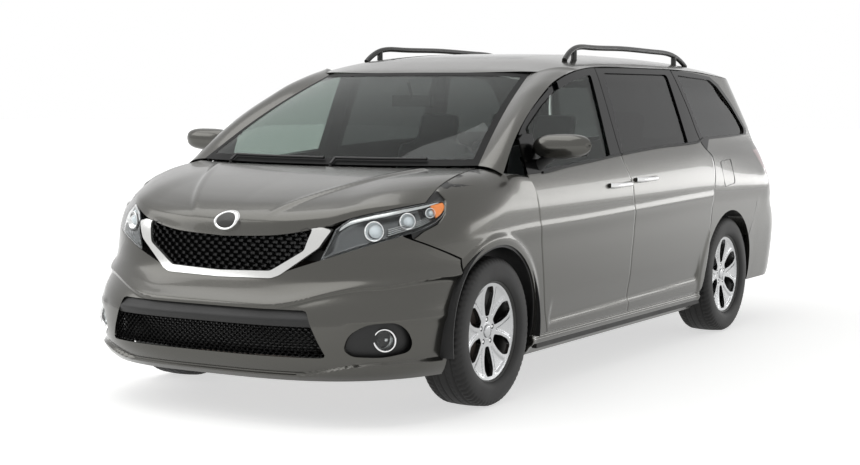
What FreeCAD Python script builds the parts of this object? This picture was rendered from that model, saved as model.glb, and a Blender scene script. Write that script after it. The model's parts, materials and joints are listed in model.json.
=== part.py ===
"""Minivan, built from its outer skin inwards.

The frame stands on the ground under the middle of the vehicle: X points to the
vehicle's left, Y to its rear and Z up.  All sizes are in millimetres and stand in
the sheet named Sizes.  The tables of the skin hold shares of them:

- a station is a place along the vehicle: 0 is the front bumper, 1 the front axle,
  2 the rear axle and 3 the rear bumper,
- a level is a height: 0 is the ground, 1 the belt line and 2 the roof,
- a width share is a part of the body's half width.
"""
import FreeCAD
import Part
import Sketcher
import bisect
import math
import os

DOC = FreeCAD.newDocument("Minivan")
V = FreeCAD.Vector

SIZES = {
    # the body's main sizes
    "front_overhang": 970, "wheelbase": 3030, "rear_overhang": 1085,
    "half_width": 992, "belt_height": 1130, "roof_height": 1705,
    "front_corner": 850, "rear_corner": 380,
    "seam_gap": 8, "skin_wall": 12, "close_gap": 0.3,
    # wheels
    "track": 1720, "tyre_radius": 356, "tyre_width": 235, "tyre_wall": 22,
    "rim_radius": 241, "rim_half_width": 96, "rim_wall": 8,
    "rim_disc": 26, "hub_bore_radius": 30, 
    "tread_round": 40,
    "arch_radius": 400, "liner_radius": 428, "liner_wall": 5, "liner_inner": 520,
    "rear_liner_inner": 640,
    # steering and front axle
    "knuckle_width": 46, "knuckle_length": 90,
    "knuckle_height": 230, "kingpin_low_x": 775, "kingpin_low_z": 230, "kingpin_high_x": 685,
    "kingpin_high_z": 783, "strut_radius": 20,
    "disc_radius": 160, "disc_wall": 26,
    # doors
    "door_depth": 96, "frame_depth": 40, "glass_wall": 5, 
    "wiper_radius": 7, "hinge_inset": 34, "hinge_knuckle": 11, "hinge_half": 20, "hinge_pocket": 45,
    "door_nose_wall": 56, "handle_height": 34,
    "handle_wall": 30,
    # hood, roof and tailgate
    "hood_wall": 22, "roof_wall": 28, "pillar_wall": 45, "tailgate_wall": 60,
    
    # bumpers and lamps
    "bumper_wall": 30, "lamp_depth": 90, "grille_depth": 26,
    "fog_radius": 46,
    # roof rails
    "rail_height": 38, "rail_radius": 15, 
    # floor and underbody
    "floor_height": 400, "beam_height": 100, "floor_wall": 40, "sill_height": 215, "sill_top": 330,
    # cabin
    "seat_width": 520, "cushion_height": 130, "cushion_length": 520,
    "back_wall": 120, "seat_plinth": 120, "headrest_height": 175, "back_lean": 18,
    "front_seat_x": 380, "second_seat_x": 400, "back_height": 620, "glass_bow": 26, "grille_wall": 10, "grille_set": 20,
    "glass_set": 10,
    "wheel_ring_radius": 190, "wheel_ring_wall": 15, "inner_mirror_height": 60,
    # outside mirrors, hinges of the hood and the tailgate
    "mirror_length": 294, "mirror_height": 130, "mirror_depth": 112, "hood_hinge_radius": 9, "hood_hinge_leaf": 13, "hood_hinge_reach": 68,
    "gate_hinge_radius": 6, "gate_hinge_leaf": 16,
}

SHEET = DOC.addObject("Spreadsheet::Sheet", "Sizes")
for row, (alias, value) in enumerate(SIZES.items(), start=1):
    SHEET.set("A%d" % row, alias.replace("_", " "))
    SHEET.set("B%d" % row, str(value))
    SHEET.setAlias("B%d" % row, alias)
DOC.recompute()


def size(alias):
    """The value of one cell of the sheet."""
    return float(getattr(SHEET, alias))


FRONT_OVERHANG = size("front_overhang")
WHEELBASE = size("wheelbase")
REAR_OVERHANG = size("rear_overhang")
LENGTH = FRONT_OVERHANG + WHEELBASE + REAR_OVERHANG
HALF_WIDTH = size("half_width")
BELT = size("belt_height")
ROOF = size("roof_height")
NOSE_Y = -LENGTH / 2
FRONT_AXLE = NOSE_Y + FRONT_OVERHANG
REAR_AXLE = FRONT_AXLE + WHEELBASE
HUB = size("tyre_radius")
SEAM = size("seam_gap")
CLOSE = size("close_gap")

# The skin's cross section: level and half-width share.
SECTION_SHARES = (
    (0.1681, 0.9123), (0.2035, 0.9375), (0.2478, 0.9556), (0.292, 0.9647), (0.354, 0.9728),
    (0.4425, 0.9839), (0.531, 0.9919), (0.6195, 0.997), (0.7345, 1), (0.7965, 0.998),
    (0.885, 0.9849), (0.9558, 0.9688), (1, 0.9567), (1.2087, 0.9194), (1.4696, 0.872),
    (1.6435, 0.8387), (1.7478, 0.8175), (1.84, 0.7944), (2, 0.746),
)
# The nose and the tail in side view: level and station.
NOSE_SHARES = (
    (0.1681, 0.1057), (0.2124, 0.0438), (0.2655, 0.0129), (0.354, 0.0005), (0.3982, 0.0015),
    (0.4425, 0.0129), (0.4743, 0.0314), (0.531, 0.0851), (0.577, 0.1211), (0.6469, 0.1469),
    (0.7248, 0.1624), (0.7912, 0.1943), (0.8496, 0.2603), (0.9735, 0.4046), (2, 0.4046),
)
TAIL_SHARES = (
    (0.1681, 2.9055), (0.2301, 2.9608), (0.3097, 2.9931), (0.4425, 2.9995), (0.5487, 2.9959),
    (0.6195, 2.97), (0.6726, 2.9378), (0.7434, 2.9258), (0.8407, 2.9221), (0.9558, 2.9129),
    (1.087, 2.8871), (1.2957, 2.8226), (1.5409, 2.7415), (1.8243, 2.6567), (2, 2.6014),
)
# The cabin narrows towards the rear: station and share of the width.
CABIN_SHARES = (
    (0.0026, 1), (1.816, 1), (1.981, 0.988), (2.5, 0.955), (2.7765, 0.92), (2.9977, 0.88),
)
# The roof's crown line: station and level.
CROWN_SHARES = (
    (1.288, 1.7565), (1.3144, 1.8), (1.3705, 1.88), (1.453, 1.9565), (1.552, 1.9913), (1.684, 2),
    (1.849, 1.9878), (2.0392, 1.9565), (2.4078, 1.9078), (2.7304, 1.8383),
)
# Seams in side view: level and station.
DOOR_FRONT_SHARES = (
    (0.2522, 1.1929), (0.3584, 1.1731), (0.4805, 1.1599), (0.6088, 1.148), (0.7035, 1.1411),
    (0.7823, 1.1368), (0.8593, 1.1328), (0.8991, 1.1259), (0.9496, 1.1144), (1, 1.1111),
    (1.2296, 1.1124), (1.4052, 1.1724), (1.5565, 1.2358), (1.687, 1.3005), (1.7617, 1.3573),
    (1.8139, 1.4196), (1.84, 1.4731),
)
DOOR_REAR_SHARES = (
    (0.2522, 1.516), (0.3912, 1.5081), (0.5142, 1.5071), (0.6345, 1.5117), (0.7212, 1.513),
    (0.7903, 1.5114), (0.8593, 1.5111), (0.9292, 1.5005), (1.0052, 1.4843), (1.433, 1.4804),
    (1.84, 1.4794),
)
SLIDE_REAR_SHARES = (
    (0.2522, 1.8612), (0.269, 1.8708), (0.3929, 1.8797), (0.5646, 1.8866), (0.6602, 1.8906),
    (0.7451, 1.8975), (0.8292, 1.9127), (0.9044, 1.9219), (0.9619, 1.9229), (1.0035, 1.8995),
    (1.0817, 1.879), (1.4539, 1.8556), (1.84, 1.8272),
)
# Left edge of the windshield and outline of the side windows: width share, station, level.
PILLAR_IN_SHARES = (
    (0.8256, 1.0332, 1.0017), (0.7581, 1.1493, 1.3339), (0.6956, 1.2351, 1.56),
    (0.6351, 1.3243, 1.7722),
)
PILLAR_OUT_SHARES = (
    (0.9556, 1.0365, 0.9664), (0.9073, 1.1045, 1.2087), (0.873, 1.1698, 1.4139),
    (0.8448, 1.2322, 1.567), (0.8216, 1.2936, 1.6957), (0.8065, 1.3507, 1.7704),
    (0.7954, 1.415, 1.8226),
)
# The hood's edge: from the middle of its lip along the grille and the lamp to the cowl.
HOOD_FRONT_SHARES = (
    (0, 0.1716, 0.7292), (0.252, 0.182, 0.7398), (0.504, 0.2418, 0.7788), (0.63, 0.3098, 0.8195),
    (0.746, 0.4253, 0.8478), (0.8427, 0.5696, 0.8708),
)
HOOD_REAR_SHARES = (
    (0, 0.9593, 0.9832), (0.3024, 0.9675, 0.985), (0.5645, 1.0002, 0.9885),
    (0.746, 1.0147, 0.9903), (0.8306, 1.0239, 0.992),
)
HOOD_SIDE_SHARES = (
    (0.8427, 0.5696, 0.8708), (0.8306, 0.7036, 0.9292), (0.8246, 0.8686, 0.9664),
    (0.8266, 0.9923, 0.9823), (0.8306, 1.0299, 0.992),
)


FENDER_TOP_SHARES = (
    (0.8024, 0.4562, 0.8425), (0.8427, 0.5696, 0.8708), (0.8306, 0.7036, 0.9292),
    (0.8246, 0.8686, 0.9664), (0.8286, 0.9923, 0.9823), (0.8569, 1.0266, 0.9876),
    (0.9375, 1.0404, 0.9735), (0.9647, 1.08, 0.9611), (0.9698, 1.1111, 0.9496),
)
LAMP_LOW_SHARES = (
    (0.5121, 0.1933, 0.6496), (0.6653, 0.2758, 0.6991), (0.8044, 0.3912, 0.7434),
    (0.8871, 0.518, 0.7788), (0.9153, 0.616, 0.823), (0.9042, 0.6624, 0.8655),
)
LAMP_HIGH_SHARES = (
    (0.5665, 0.2418, 0.7708), (0.625, 0.3057, 0.8159), (0.746, 0.4273, 0.8442),
    (0.8427, 0.5613, 0.8655), (0.8871, 0.6366, 0.8743), (0.9032, 0.6655, 0.8708),
)
GLASS_BASE_SHARES = (
    (0, 0.9974, 0.9929), (0.3024, 1.0021, 0.9938), (0.5645, 1.0114, 0.9965),
    (0.746, 1.0233, 0.9991), (0.8256, 1.0332, 1.0017),
)
GLASS_HEAD_SHARES = (
    (0, 1.3028, 1.7896), (0.3024, 1.3061, 1.7878), (0.5242, 1.3144, 1.7826),
    (0.6351, 1.3243, 1.7722),
)
ROOF_FRONT_SHARES = (
    (0, 1.3045, 1.7965), (0.4032, 1.3104, 1.7913), (0.6391, 1.3276, 1.7809),
    (0.8065, 1.354, 1.7722),
)
ROOF_REAR_SHARES = (
    (0, 2.6244, 1.8609), (0.4032, 2.6152, 1.8435), (0.6452, 2.5876, 1.7913),
    (0.7409, 2.5461, 1.7478),
)
ROOF_SIDE_SHARES = (
    (1.3474, 1.7652), (1.415, 1.8243), (1.4757, 1.8487), (1.6652, 1.8557), (1.8266, 1.8522),
    (1.9355, 1.8383), (2.0908, 1.8122), (2.4078, 1.7722), (2.6382, 1.727),
)
GATE_WIDTH_SHARES = (
    (0.177, 0.7056), (0.6195, 0.7056), (0.7965, 0.7258), (0.9735, 0.7208), (1.2087, 0.6956),
    (1.4696, 0.6603), (1.7478, 0.6048), (2, 0.5645),
)
FRONT_WINDOW_SHARES = (
    (1.1609, 0.9743), (1.4384, 1.0139), (1.4513, 1.7757), (1.42, 1.753), (1.3573, 1.7026),
    (1.3005, 1.6261), (1.2358, 1.4957), (1.1724, 1.3391), (1.1609, 1.3061),
)
SLIDE_WINDOW_SHARES = (
    (1.4965, 1.0209), (1.8097, 1.08), (1.7998, 1.793), (1.5064, 1.7948),
)
QUARTER_WINDOW_SHARES = (
    (1.8886, 1.1478), (2.4355, 1.153), (2.4677, 1.2087), (2.3249, 1.4696), (2.1682, 1.6783),
    (2.076, 1.7478), (1.8523, 1.7913),
)
BUMPER_TOP_SHARES = (
    (0, 0.5796), (0.3024, 0.5841), (0.504, 0.646), (0.6552, 0.6938), (0.8276, 0.7416),
    (0.8569, 0.731), (0.9143, 0.7018), (0.9476, 0.6681), (0.9738, 0.6301), (0.9829, 0.5841),
    (0.9859, 0.4956), (1.1996, 0.4956), (1.1996, 1), (0, 1),
)
REAR_SEAM_SHARES = (
    (2.2972, 0.4956), (2.3894, 0.6195), (2.4263, 0.708), (2.4631, 0.7292), (2.653, 0.7416),
    (3.1452, 0.7487),
)
TAIL_LAMP_SHARES = (
    (2.5138, 0.9858), (2.6198, 0.8513), (2.6751, 0.7788), (3.053, 0.7681), (3.053, 0.9982),
)
LOW_GRILLE_SHARES = (
    (-0.5121, 0.4602), (0.5121, 0.4602), (0.6048, 0.2841), (-0.6048, 0.2841),
)
TRIM_OUTER_SHARES = (
    (0, 0.7292), (0.252, 0.7398), (0.504, 0.777), (0.5494, 0.7681), (0.504, 0.6991),
    (0.3327, 0.5912), (0.2923, 0.577), (0, 0.5717),
)
TRIM_INNER_SHARES = (
    (0, 0.708), (0.2419, 0.7186), (0.4738, 0.7522), (0.504, 0.7451), (0.4637, 0.6903),
    (0.3125, 0.6195), (0.2823, 0.6053), (0, 0.5982),
)
HOOD_MIDDLE_SHARES = ((0, 0), (0.028, 0.243), (0.11, 0.42), (0.29, 0.61), (0.61, 0.82), (1, 1))
HOOD_SIDE_RISE_SHARES = ((0, 0), (0.1, 0.2), (0.256, 0.48), (0.57, 0.79), (0.81, 0.92), (1, 1))
SHOULDER_SHARE = 0.1
TURN_SHARE = 0.6
PILLAR_BULGE_SHARE = 0.12
ROOF_ROUND_SHARE = 3.8
DOOR_LOW_SHARE = 0.2522
DOOR_TOP_SHARE = 1.8348
NOSE_LOW_SHARE = 0.1770
NOSE_REAR_SHARE = 0.7270
FENDER_FRONT_SHARE = 0.4510
BUMPER_FRONT_SHARE = 2.2970
GATE_LOW_SHARE = 0.6265
GATE_TOP_SHARE = 1.8260
REAR_STEP_SHARE = 0.7520
GATE_WINDOW_SHARES = (
    (-0.6452, 1.0696), (0.6452, 1.0696), (0.5796, 1.6609), (-0.5796, 1.6609),
)
RAIL_SHARES = (
    (0.6452, 1.4573, 1.913), (0.6371, 1.5012, 2.0261), (0.63, 1.5682, 2.047),
    (0.627, 1.712, 2.0522), (0.627, 1.879, 2.0383), (0.629, 1.9744, 2.0035),
    (0.631, 2.0945, 1.8957),
)
MIRROR_STATION_SHARE = 1.1575
MIRROR_FORM_SHARES = [(0, 0.55), (0.1, 0.85), (0.35, 0.99), (0.65, 1), (0.88, 0.8), (1, 0.42)]
HINGE_STATION_SHARE = 1.1790
GATE_HINGE_SHARE = 0.252
SPOILER_SHARE = 0.88
SPOILER_END_SHARE = 2.7550
HOOD_HINGE_SHARES = (0.7450, 1.02393, 0.97876)
MIRROR_HANG_SHARE = 0.88
HANDLE_SHARES = (1.4163, 1.4932, 0.8752, 1.5299, 1.6094, 0.8894)
HINGE_LEVEL_SHARES = (0.4956, 0.7611)
FRONT_SLAB_SHARES = (1.1025, 1.5223)
SLIDE_SLAB_SHARES = (1.4744, 1.9299)
PILLAR_FOOT_SHARE = 1.2
PILLAR_SEAM_SHARES = (
    (1.1137, 1.2), (1.1361, 1.2957), (1.1698, 1.4), (1.2021, 1.4835), (1.2358, 1.5565),
    (1.3005, 1.687), (1.3573, 1.7617), (1.4196, 1.8139), (1.4731, 1.8383),
)
BUMPER_HIGH_SHARE = 0.7700
TRIM_LOW_SHARE = 0.5550
TRIM_HIGH_SHARE = 0.7960
FOG_X_SHARE = 0.8135
FOG_Y_SHARE = 0.2300
FOG_Z_SHARE = 0.3460
FOG_LEAN_SHARE = 0.3500


CURVES = {}


def tangents_of(table):
    """The places, values and slopes of a table's smooth curve, worked out once."""
    if id(table) not in CURVES:
        xs = [row[0] for row in table]
        ys = [row[1] for row in table]
        steps = [b - a for a, b in zip(xs, xs[1:])]
        slopes = [(b - a) / step for a, b, step in zip(ys, ys[1:], steps)]
        tangents = [slopes[0]] + [0] * (len(xs) - 2) + [slopes[-1]]
        for k in range(1, len(xs) - 1):
            if slopes[k - 1] * slopes[k] > 0:
                before = 2 * steps[k] + steps[k - 1]
                after = steps[k] + 2 * steps[k - 1]
                tangents[k] = (before + after) / (before / slopes[k - 1] + after / slopes[k])
        CURVES[id(table)] = (table, xs, ys, tangents)
    return CURVES[id(table)][1:]


def along(table, at):
    """The value of a table at one place, by a smooth curve with no overshoot."""
    xs, ys, tangents = tangents_of(table)
    if at <= xs[0]:
        return ys[0]
    if at >= xs[-1]:
        return ys[-1]
    k = bisect.bisect_right(xs, at) - 1
    step = xs[k + 1] - xs[k]
    t = (at - xs[k]) / step
    return ((2 * t**3 - 3 * t**2 + 1) * ys[k] + (t**3 - 2 * t**2 + t) * step * tangents[k]
            + (3 * t**2 - 2 * t**3) * ys[k + 1] + (t**3 - t**2) * step * tangents[k + 1])


def place_y(station):
    """The place along the vehicle of a station."""
    if station <= 1:
        return NOSE_Y + station * FRONT_OVERHANG
    if station <= 2:
        return FRONT_AXLE + (station - 1) * WHEELBASE
    return REAR_AXLE + (station - 2) * REAR_OVERHANG


def station_of(y):
    """The station of a place along the vehicle."""
    if y <= FRONT_AXLE:
        return (y - NOSE_Y) / FRONT_OVERHANG
    if y <= REAR_AXLE:
        return 1 + (y - FRONT_AXLE) / WHEELBASE
    return 2 + (y - REAR_AXLE) / REAR_OVERHANG


def place_z(level):
    """The height of a level."""
    return level * BELT if level <= 1 else BELT + (level - 1) * (ROOF - BELT)


def level_of(z):
    """The level of a height."""
    return z / BELT if z <= BELT else 1 + (z - BELT) / (ROOF - BELT)


def spot(width_share, station, level):
    """A point from its three shares."""
    return V(width_share * HALF_WIDTH, place_y(station), place_z(level))


def spots(table):
    return [spot(*row) for row in table]


def edge_y(table, z):
    """The place of a seam at one height, from a table of levels and stations."""
    return place_y(along(table, level_of(z)))


def corner(depth, bend, tightness):
    """Share of the full width at a depth share behind the nose or the tail."""
    if depth >= 1:
        return 1
    if depth <= 0:
        return 0
    return (1 - (1 - depth) ** bend) ** (1 / tightness)


FRONT_BEND_SHARES = (2.4, 3.2)
REAR_BEND_SHARES = (2.2, 5.0)


def flank(y, z):
    """Half width of the outer skin at one place."""
    level = level_of(z)
    width = HALF_WIDTH * along(SECTION_SHARES, level)
    ahead = (y - place_y(along(NOSE_SHARES, level))) / size("front_corner")
    behind = (place_y(along(TAIL_SHARES, level)) - y) / size("rear_corner")
    cabin = along(CABIN_SHARES, station_of(y))
    blend = min(1, max(0, (level - 0.8) / 0.25))
    return (width * corner(ahead, *FRONT_BEND_SHARES) * corner(behind, *REAR_BEND_SHARES)
            * (1 - (1 - cabin) * blend))


def bezier(points, t):
    """A point on the curve of some control points."""
    while len(points) > 1:
        points = [a + (b - a) * t for a, b in zip(points, points[1:])]
    return points[0]


LINES = {}


def on_line(points, t):
    """A point at a share of the length of a smooth line through points."""
    if id(points) not in LINES:
        lengths = [0]
        for a, b in zip(points, points[1:]):
            lengths.append(lengths[-1] + (b - a).Length)
        tables = [[(length / lengths[-1], p[axis]) for length, p in zip(lengths, points)] for axis in range(3)]
        LINES[id(points)] = (points, tables)
    return V(*[along(table, t) for table in LINES[id(points)][1]])


def around(z, rear, front=True):
    """Points of the outer skin at one height from the middle round to a place along it."""
    table = NOSE_SHARES if front else TAIL_SHARES
    tip = place_y(along(table, level_of(z)))
    turn = size("front_corner") if front else size("rear_corner")
    sign = 1 if front else -1
    points = [V(0, tip, z)]
    for k in range(1, 61):
        depth = (k / 60) ** 2.6
        y = tip + sign * turn * depth
        if sign * (rear - y) < 0:
            break
        points.append(V(flank(y, z), y, z))
    points.append(V(flank(rear, z), rear, z))
    return points


def surface_through(rows):
    surface = Part.BSplineSurface()
    surface.interpolate(rows)
    return surface


def borders(surface):
    """The four edges of a surface, in the same order for each surface."""
    u0, u1, v0, v1 = surface.bounds()
    curves = (surface.uIso(u0), surface.uIso(u1), surface.vIso(v0), surface.vIso(v1))
    return [curve.toShape() for curve in curves]


def shell_solid(outer, inner):
    """A solid between two grids of points that match."""
    skins = [surface_through(outer), surface_through(inner)]
    faces = [skin.toShape() for skin in skins]
    for near, far in zip(borders(skins[0]), borders(skins[1])):
        faces.append(Part.makeRuledSurface(near, far))
    cover = Part.makeCompound(faces)
    cover.sewShape()
    solid = Part.Solid(cover.Shells[0])
    if solid.Volume < 0:
        solid.reverse()
    return solid


def panel(point, across, down, depth, inset=0.01, lead=0):
    """A solid panel: point(u, v) is its outer skin and depth its wall, towards the inside."""
    def inward(u, v):
        step = 0.004
        u0, u1 = max(0, u - step), min(1, u + step)
        v0, v1 = max(0, v - step), min(1, v + step)
        normal = (point(u1, v) - point(u0, v)).cross(point(u, v1) - point(u, v0))
        normal.normalize()
        here = point(u, v)
        middle = V(0, here.y * (0.8 if abs(here.y) > 1200 else 1), BELT * 0.6)
        return normal * (-1 if normal.dot(here - middle) > 0 else 1)

    outer, inner = [], []
    for i in range(across + 1):
        u = i / across
        outer.append([point(u, j / down) for j in range(down + 1)])
        line = []
        for j in range(down + 1):
            v = j / down
            a = inset + (1 - 2 * inset) * u
            b = inset + (1 - 2 * inset) * v
            wall = depth(a, b) if callable(depth) else depth
            line.append(point(a, b) + inward(a, b) * wall)
        inner.append(line)
    return shell_solid(outer, inner)


def mirrored(shape):
    return shape.mirror(V(0, 0, 0), V(1, 0, 0))


def prism(points, direction):
    """A prism on a flat outline of points."""
    wire = Part.makePolygon(points + [points[0]])
    return Part.Face(wire).extrude(direction)


def side_prism(outline, near, far):
    """A prism across the vehicle on an outline of places and heights."""
    return prism([V(near, y, z) for y, z in outline], V(far - near, 0, 0))


def side_outline(table):
    return [(place_y(a), place_z(b)) for a, b in table]


def front_prism(outline, near, far):
    """A prism along the vehicle on an outline of widths and heights."""
    return prism([V(x, near, z) for x, z in outline], V(0, far - near, 0))


def box(x0, x1, y0, y1, z0, z1):
    return Part.makeBox(x1 - x0, y1 - y0, z1 - z0, V(x0, y0, z0))


def rod(start, end, radius):
    axis = end - start
    return Part.makeCylinder(radius, axis.Length, start, axis)


def across_disc(x0, x1, y, z, radius):
    return Part.makeCylinder(radius, x1 - x0, V(x0, y, z), V(1, 0, 0))


PIECES = []


def piece(name, *shapes):
    """A sub-part whose form is worked out from the sheet."""
    feature = DOC.addObject("Part::Feature", name)
    feature.Label = name
    solids = [solid for shape in shapes for solid in shape.Solids]
    feature.Shape = solids[0] if len(solids) == 1 else Part.makeCompound(solids)
    feature.Placement = FreeCAD.Placement(V(0, 0, 0), FreeCAD.Rotation())
    PIECES.append(feature)
    return feature


def both(shape):
    return [shape, mirrored(shape)]



def grid_depth(base):
    return base


def diagonal(point):
    """The point moved level, along the corner's diagonal, on to the outer skin."""
    low, high = -HALF_WIDTH, HALF_WIDTH
    for _ in range(40):
        middle = (low + high) / 2
        side = 1 if point.y < 0 else -1
        if flank(point.y - side * middle, point.z) > point.x + middle:
            low = middle
        else:
            high = middle
    return V(point.x + low, point.y - side * low, point.z)


def side_point(u, z, front, rear):
    """A point of the flank between two seams, from front to rear."""
    y = front + (rear - front) * u
    return V(flank(y, z), y, z)


# --- front end
HOOD_FRONT = spots(HOOD_FRONT_SHARES)
HOOD_REAR = spots(HOOD_REAR_SHARES)
FENDER_TOP = spots(FENDER_TOP_SHARES)
LAMP_LOW = spots(LAMP_LOW_SHARES)
LAMP_HIGH = spots(LAMP_HIGH_SHARES)
GLASS_BASE = spots(GLASS_BASE_SHARES)
GLASS_HEAD = spots(GLASS_HEAD_SHARES)
PILLAR_OUT = spots(PILLAR_OUT_SHARES)
SILL_TOP = size("sill_top")
DOOR_LOW = place_z(DOOR_LOW_SHARE)
NOSE_LOW = place_z(NOSE_LOW_SHARE)


def fender_point(u, v):
    """The front fender's skin: u runs to the door and v up to the hood."""
    top = on_line(FENDER_TOP, u)
    turn = top.z - SHOULDER_SHARE * BELT
    front = place_y(FENDER_FRONT_SHARE)
    z = DOOR_LOW + (turn - DOOR_LOW) * min(1, v / TURN_SHARE)
    y = front + (edge_y(DOOR_FRONT_SHARES, z) - SEAM / 2 - front) * u
    start = V(flank(y, z), y, z)
    if v <= TURN_SHARE:
        return start
    below = V(flank(y, z - SEAM), y, z - SEAM)
    rise = (start - below) * ((top.z - turn) * 0.7 / SEAM)
    crest = V(top.x + (start.x - top.x) * 0.5, top.y, top.z + (start.z - top.z) * 0.08)
    return bezier([start, start + rise, crest, top], (v - TURN_SHARE) / (1 - TURN_SHARE))


AROUND = {}


def nose_point(u, z):
    """The nose's skin from the right side round to the left."""
    key = round(z, 3)
    if key not in AROUND:
        AROUND[key] = around(z, place_y(NOSE_REAR_SHARE))
    point = on_line(AROUND[key], abs(2 * u - 1))
    return V(point.x if u >= 0.5 else -point.x, point.y, z)


def lamp_point(u, v, spread=0):
    """The headlamp's lens: u runs from the grille to the tip and v up."""
    low, high = on_line(LAMP_LOW, u), on_line(LAMP_HIGH, u)
    point = low + (high - low) * v
    if spread:
        middle = (on_line(LAMP_LOW, 0.45) + on_line(LAMP_HIGH, 0.45)) * 0.5
        along_lamp = (LAMP_LOW[-1] - LAMP_LOW[0])
        along_lamp.normalize()
        offset = point - middle
        far = offset.dot(along_lamp)
        rest = offset - along_lamp * far
        grow = 1 + spread / 330
        point = middle + along_lamp * far * grow + rest * (1 + spread / 70)
    return diagonal(point)


def hood_point(u, v):
    """The hood's skin from the right fender to the left and from the lip to the cowl."""
    share = 2 * u - 1
    front, rear = on_line(HOOD_FRONT, abs(share)), on_line(HOOD_REAR, abs(share))
    run = v * v
    middle, side = along(HOOD_MIDDLE_SHARES, run), along(HOOD_SIDE_RISE_SHARES, run)
    rise = middle + (side - middle) * share * share
    sign = 1 if share >= 0 else -1
    return V(sign * (front.x + (rear.x - front.x) * run) - SEAM * share**3, front.y + (rear.y - front.y) * run,
             front.z + (rear.z - front.z) * rise)


def glass_point(u, v):
    """The windshield's skin from the right pillar to the left and from the cowl up."""
    share = 2 * u - 1
    low, high = on_line(GLASS_BASE, abs(share)), on_line(GLASS_HEAD, abs(share))
    bow = math.sin(math.pi * v) * GLASS_BOW
    point = low + (high - low) * v + V(0, -bow * 0.45, bow * 0.9)
    return V(point.x if share >= 0 else -point.x, point.y, point.z)


def pillar_point(u, v):
    """The windshield pillar's skin from the glass outwards and from the fender up."""
    inner, outer = glass_point(1, v) + V(CLOSE * 1.5, 0, 0), on_line(PILLAR_OUT, v)
    bulge = math.sin(math.pi * u) * PILLAR_BULGE_SHARE * (outer - inner).Length
    return inner + (outer - inner) * u + V(bulge * 0.5, -bulge * 0.6, bulge * 0.6)


def roof_point(u, v):
    """The roof's skin from right to left and from the windshield to the tailgate."""
    share = 2 * u - 1
    front, rear = on_line(ROOF_FRONT, abs(share)), on_line(ROOF_REAR, abs(share))
    y = front.y + (rear.y - front.y) * v
    station = station_of(y)
    side_z = place_z(along(ROOF_SIDE_SHARES, station))
    side_x = flank(y, side_z) - CLOSE
    crown = place_z(along(CROWN_SHARES, station))
    z = side_z + (crown - side_z) * (1 - abs(share) ** ROOF_ROUND_SHARE)
    return V(share * side_x, y, z)


def front_door_point(u, v):
    z = DOOR_LOW - SEAM + (place_z(DOOR_TOP_SHARE) + SEAM - DOOR_LOW) * v
    return side_point(u, z, place_y(FRONT_SLAB_SHARES[0]), place_y(FRONT_SLAB_SHARES[1]))


def slide_point(u, v):
    z = DOOR_LOW - SEAM + (place_z(DOOR_TOP_SHARE) + SEAM - DOOR_LOW) * v
    return side_point(u, z, place_y(SLIDE_SLAB_SHARES[0]), place_y(SLIDE_SLAB_SHARES[1]))


def smooth_edge(points):
    """An edge through points: straight through two, a smooth curve through more."""
    if len(points) == 2:
        return Part.makeLine(points[0], points[1])
    curve = Part.BSplineCurve()
    curve.interpolate(points)
    return curve.toShape()


def curved_prism(sides, direction):
    """A prism on a flat outline made of sides that meet end to end."""
    edges = []
    for k, side in enumerate(sides):
        following = sides[(k + 1) % len(sides)]
        edges.append(smooth_edge(side))
        if (side[-1] - following[0]).Length > CLOSE / 100:
            edges.append(Part.makeLine(side[-1], following[0]))
    return Part.Face(Part.Wire(edges)).extrude(direction)


def seam_points(table, shift, z0, z1, count, x):
    """Points on a seam of the flank between two heights, moved along the vehicle."""
    heights = [z0 + (z1 - z0) * k / count for k in range(count + 1)]
    return [V(x, edge_y(table, z) + shift, z) for z in heights]


BACK = {}


def quarter_point(u, v):
    """The rear quarter's skin from the sliding door round the corner to the tailgate."""
    z = DOOR_LOW + (place_z(DOOR_TOP_SHARE) - DOOR_LOW) * v
    key = round(z, 3)
    if key not in BACK:
        seam = edge_y(SLIDE_REAR_SHARES, z) + SEAM / 2
        gate = HALF_WIDTH * along(GATE_WIDTH_SHARES, level_of(z)) + SEAM * 0.75
        points = [p for p in reversed(around(z, seam, front=False)) if p.x > gate]
        points.append(V(gate, gate_y(gate, z), z))
        BACK[key] = points
    return on_line(BACK[key], u)


def gate_y(x, z):
    """The tail's place at one width and height."""
    tip = place_y(along(TAIL_SHARES, level_of(z)))
    low, high = 0, size("rear_corner")
    for _ in range(40):
        middle = (low + high) / 2
        if flank(tip - middle, z) < abs(x):
            low = middle
        else:
            high = middle
    return tip - high


def gate_point(u, v):
    """The tailgate's skin from right to left and upwards."""
    z = place_z(GATE_LOW_SHARE) + (place_z(GATE_TOP_SHARE) - place_z(GATE_LOW_SHARE)) * v
    x = (2 * u - 1) * HALF_WIDTH * along(GATE_WIDTH_SHARES, level_of(z))
    return V(x, gate_y(x, z), z)


def tail_point(u, z):
    """The tail's skin at bumper height from right to left."""
    key = (round(z, 3), "tail")
    if key not in BACK:
        BACK[key] = around(z, place_y(BUMPER_FRONT_SHARE), front=False)
    point = on_line(BACK[key], abs(2 * u - 1))
    return V(point.x if u >= 0.5 else -point.x, point.y, z)


def moved_in(point, depth):
    """The same skin, moved towards the inside of the body."""
    def inner(u, v):
        step = 0.004
        u0, u1 = max(0, u - step), min(1, u + step)
        v0, v1 = max(0, v - step), min(1, v + step)
        normal = (point(u1, v) - point(u0, v)).cross(point(u, v1) - point(u, v0))
        normal.normalize()
        here = point(u, v)
        middle = V(0, here.y * (0.8 if abs(here.y) > 1200 else 1), BELT * 0.6)
        return here + normal * (-depth if normal.dot(here - middle) > 0 else depth)
    return inner


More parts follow.
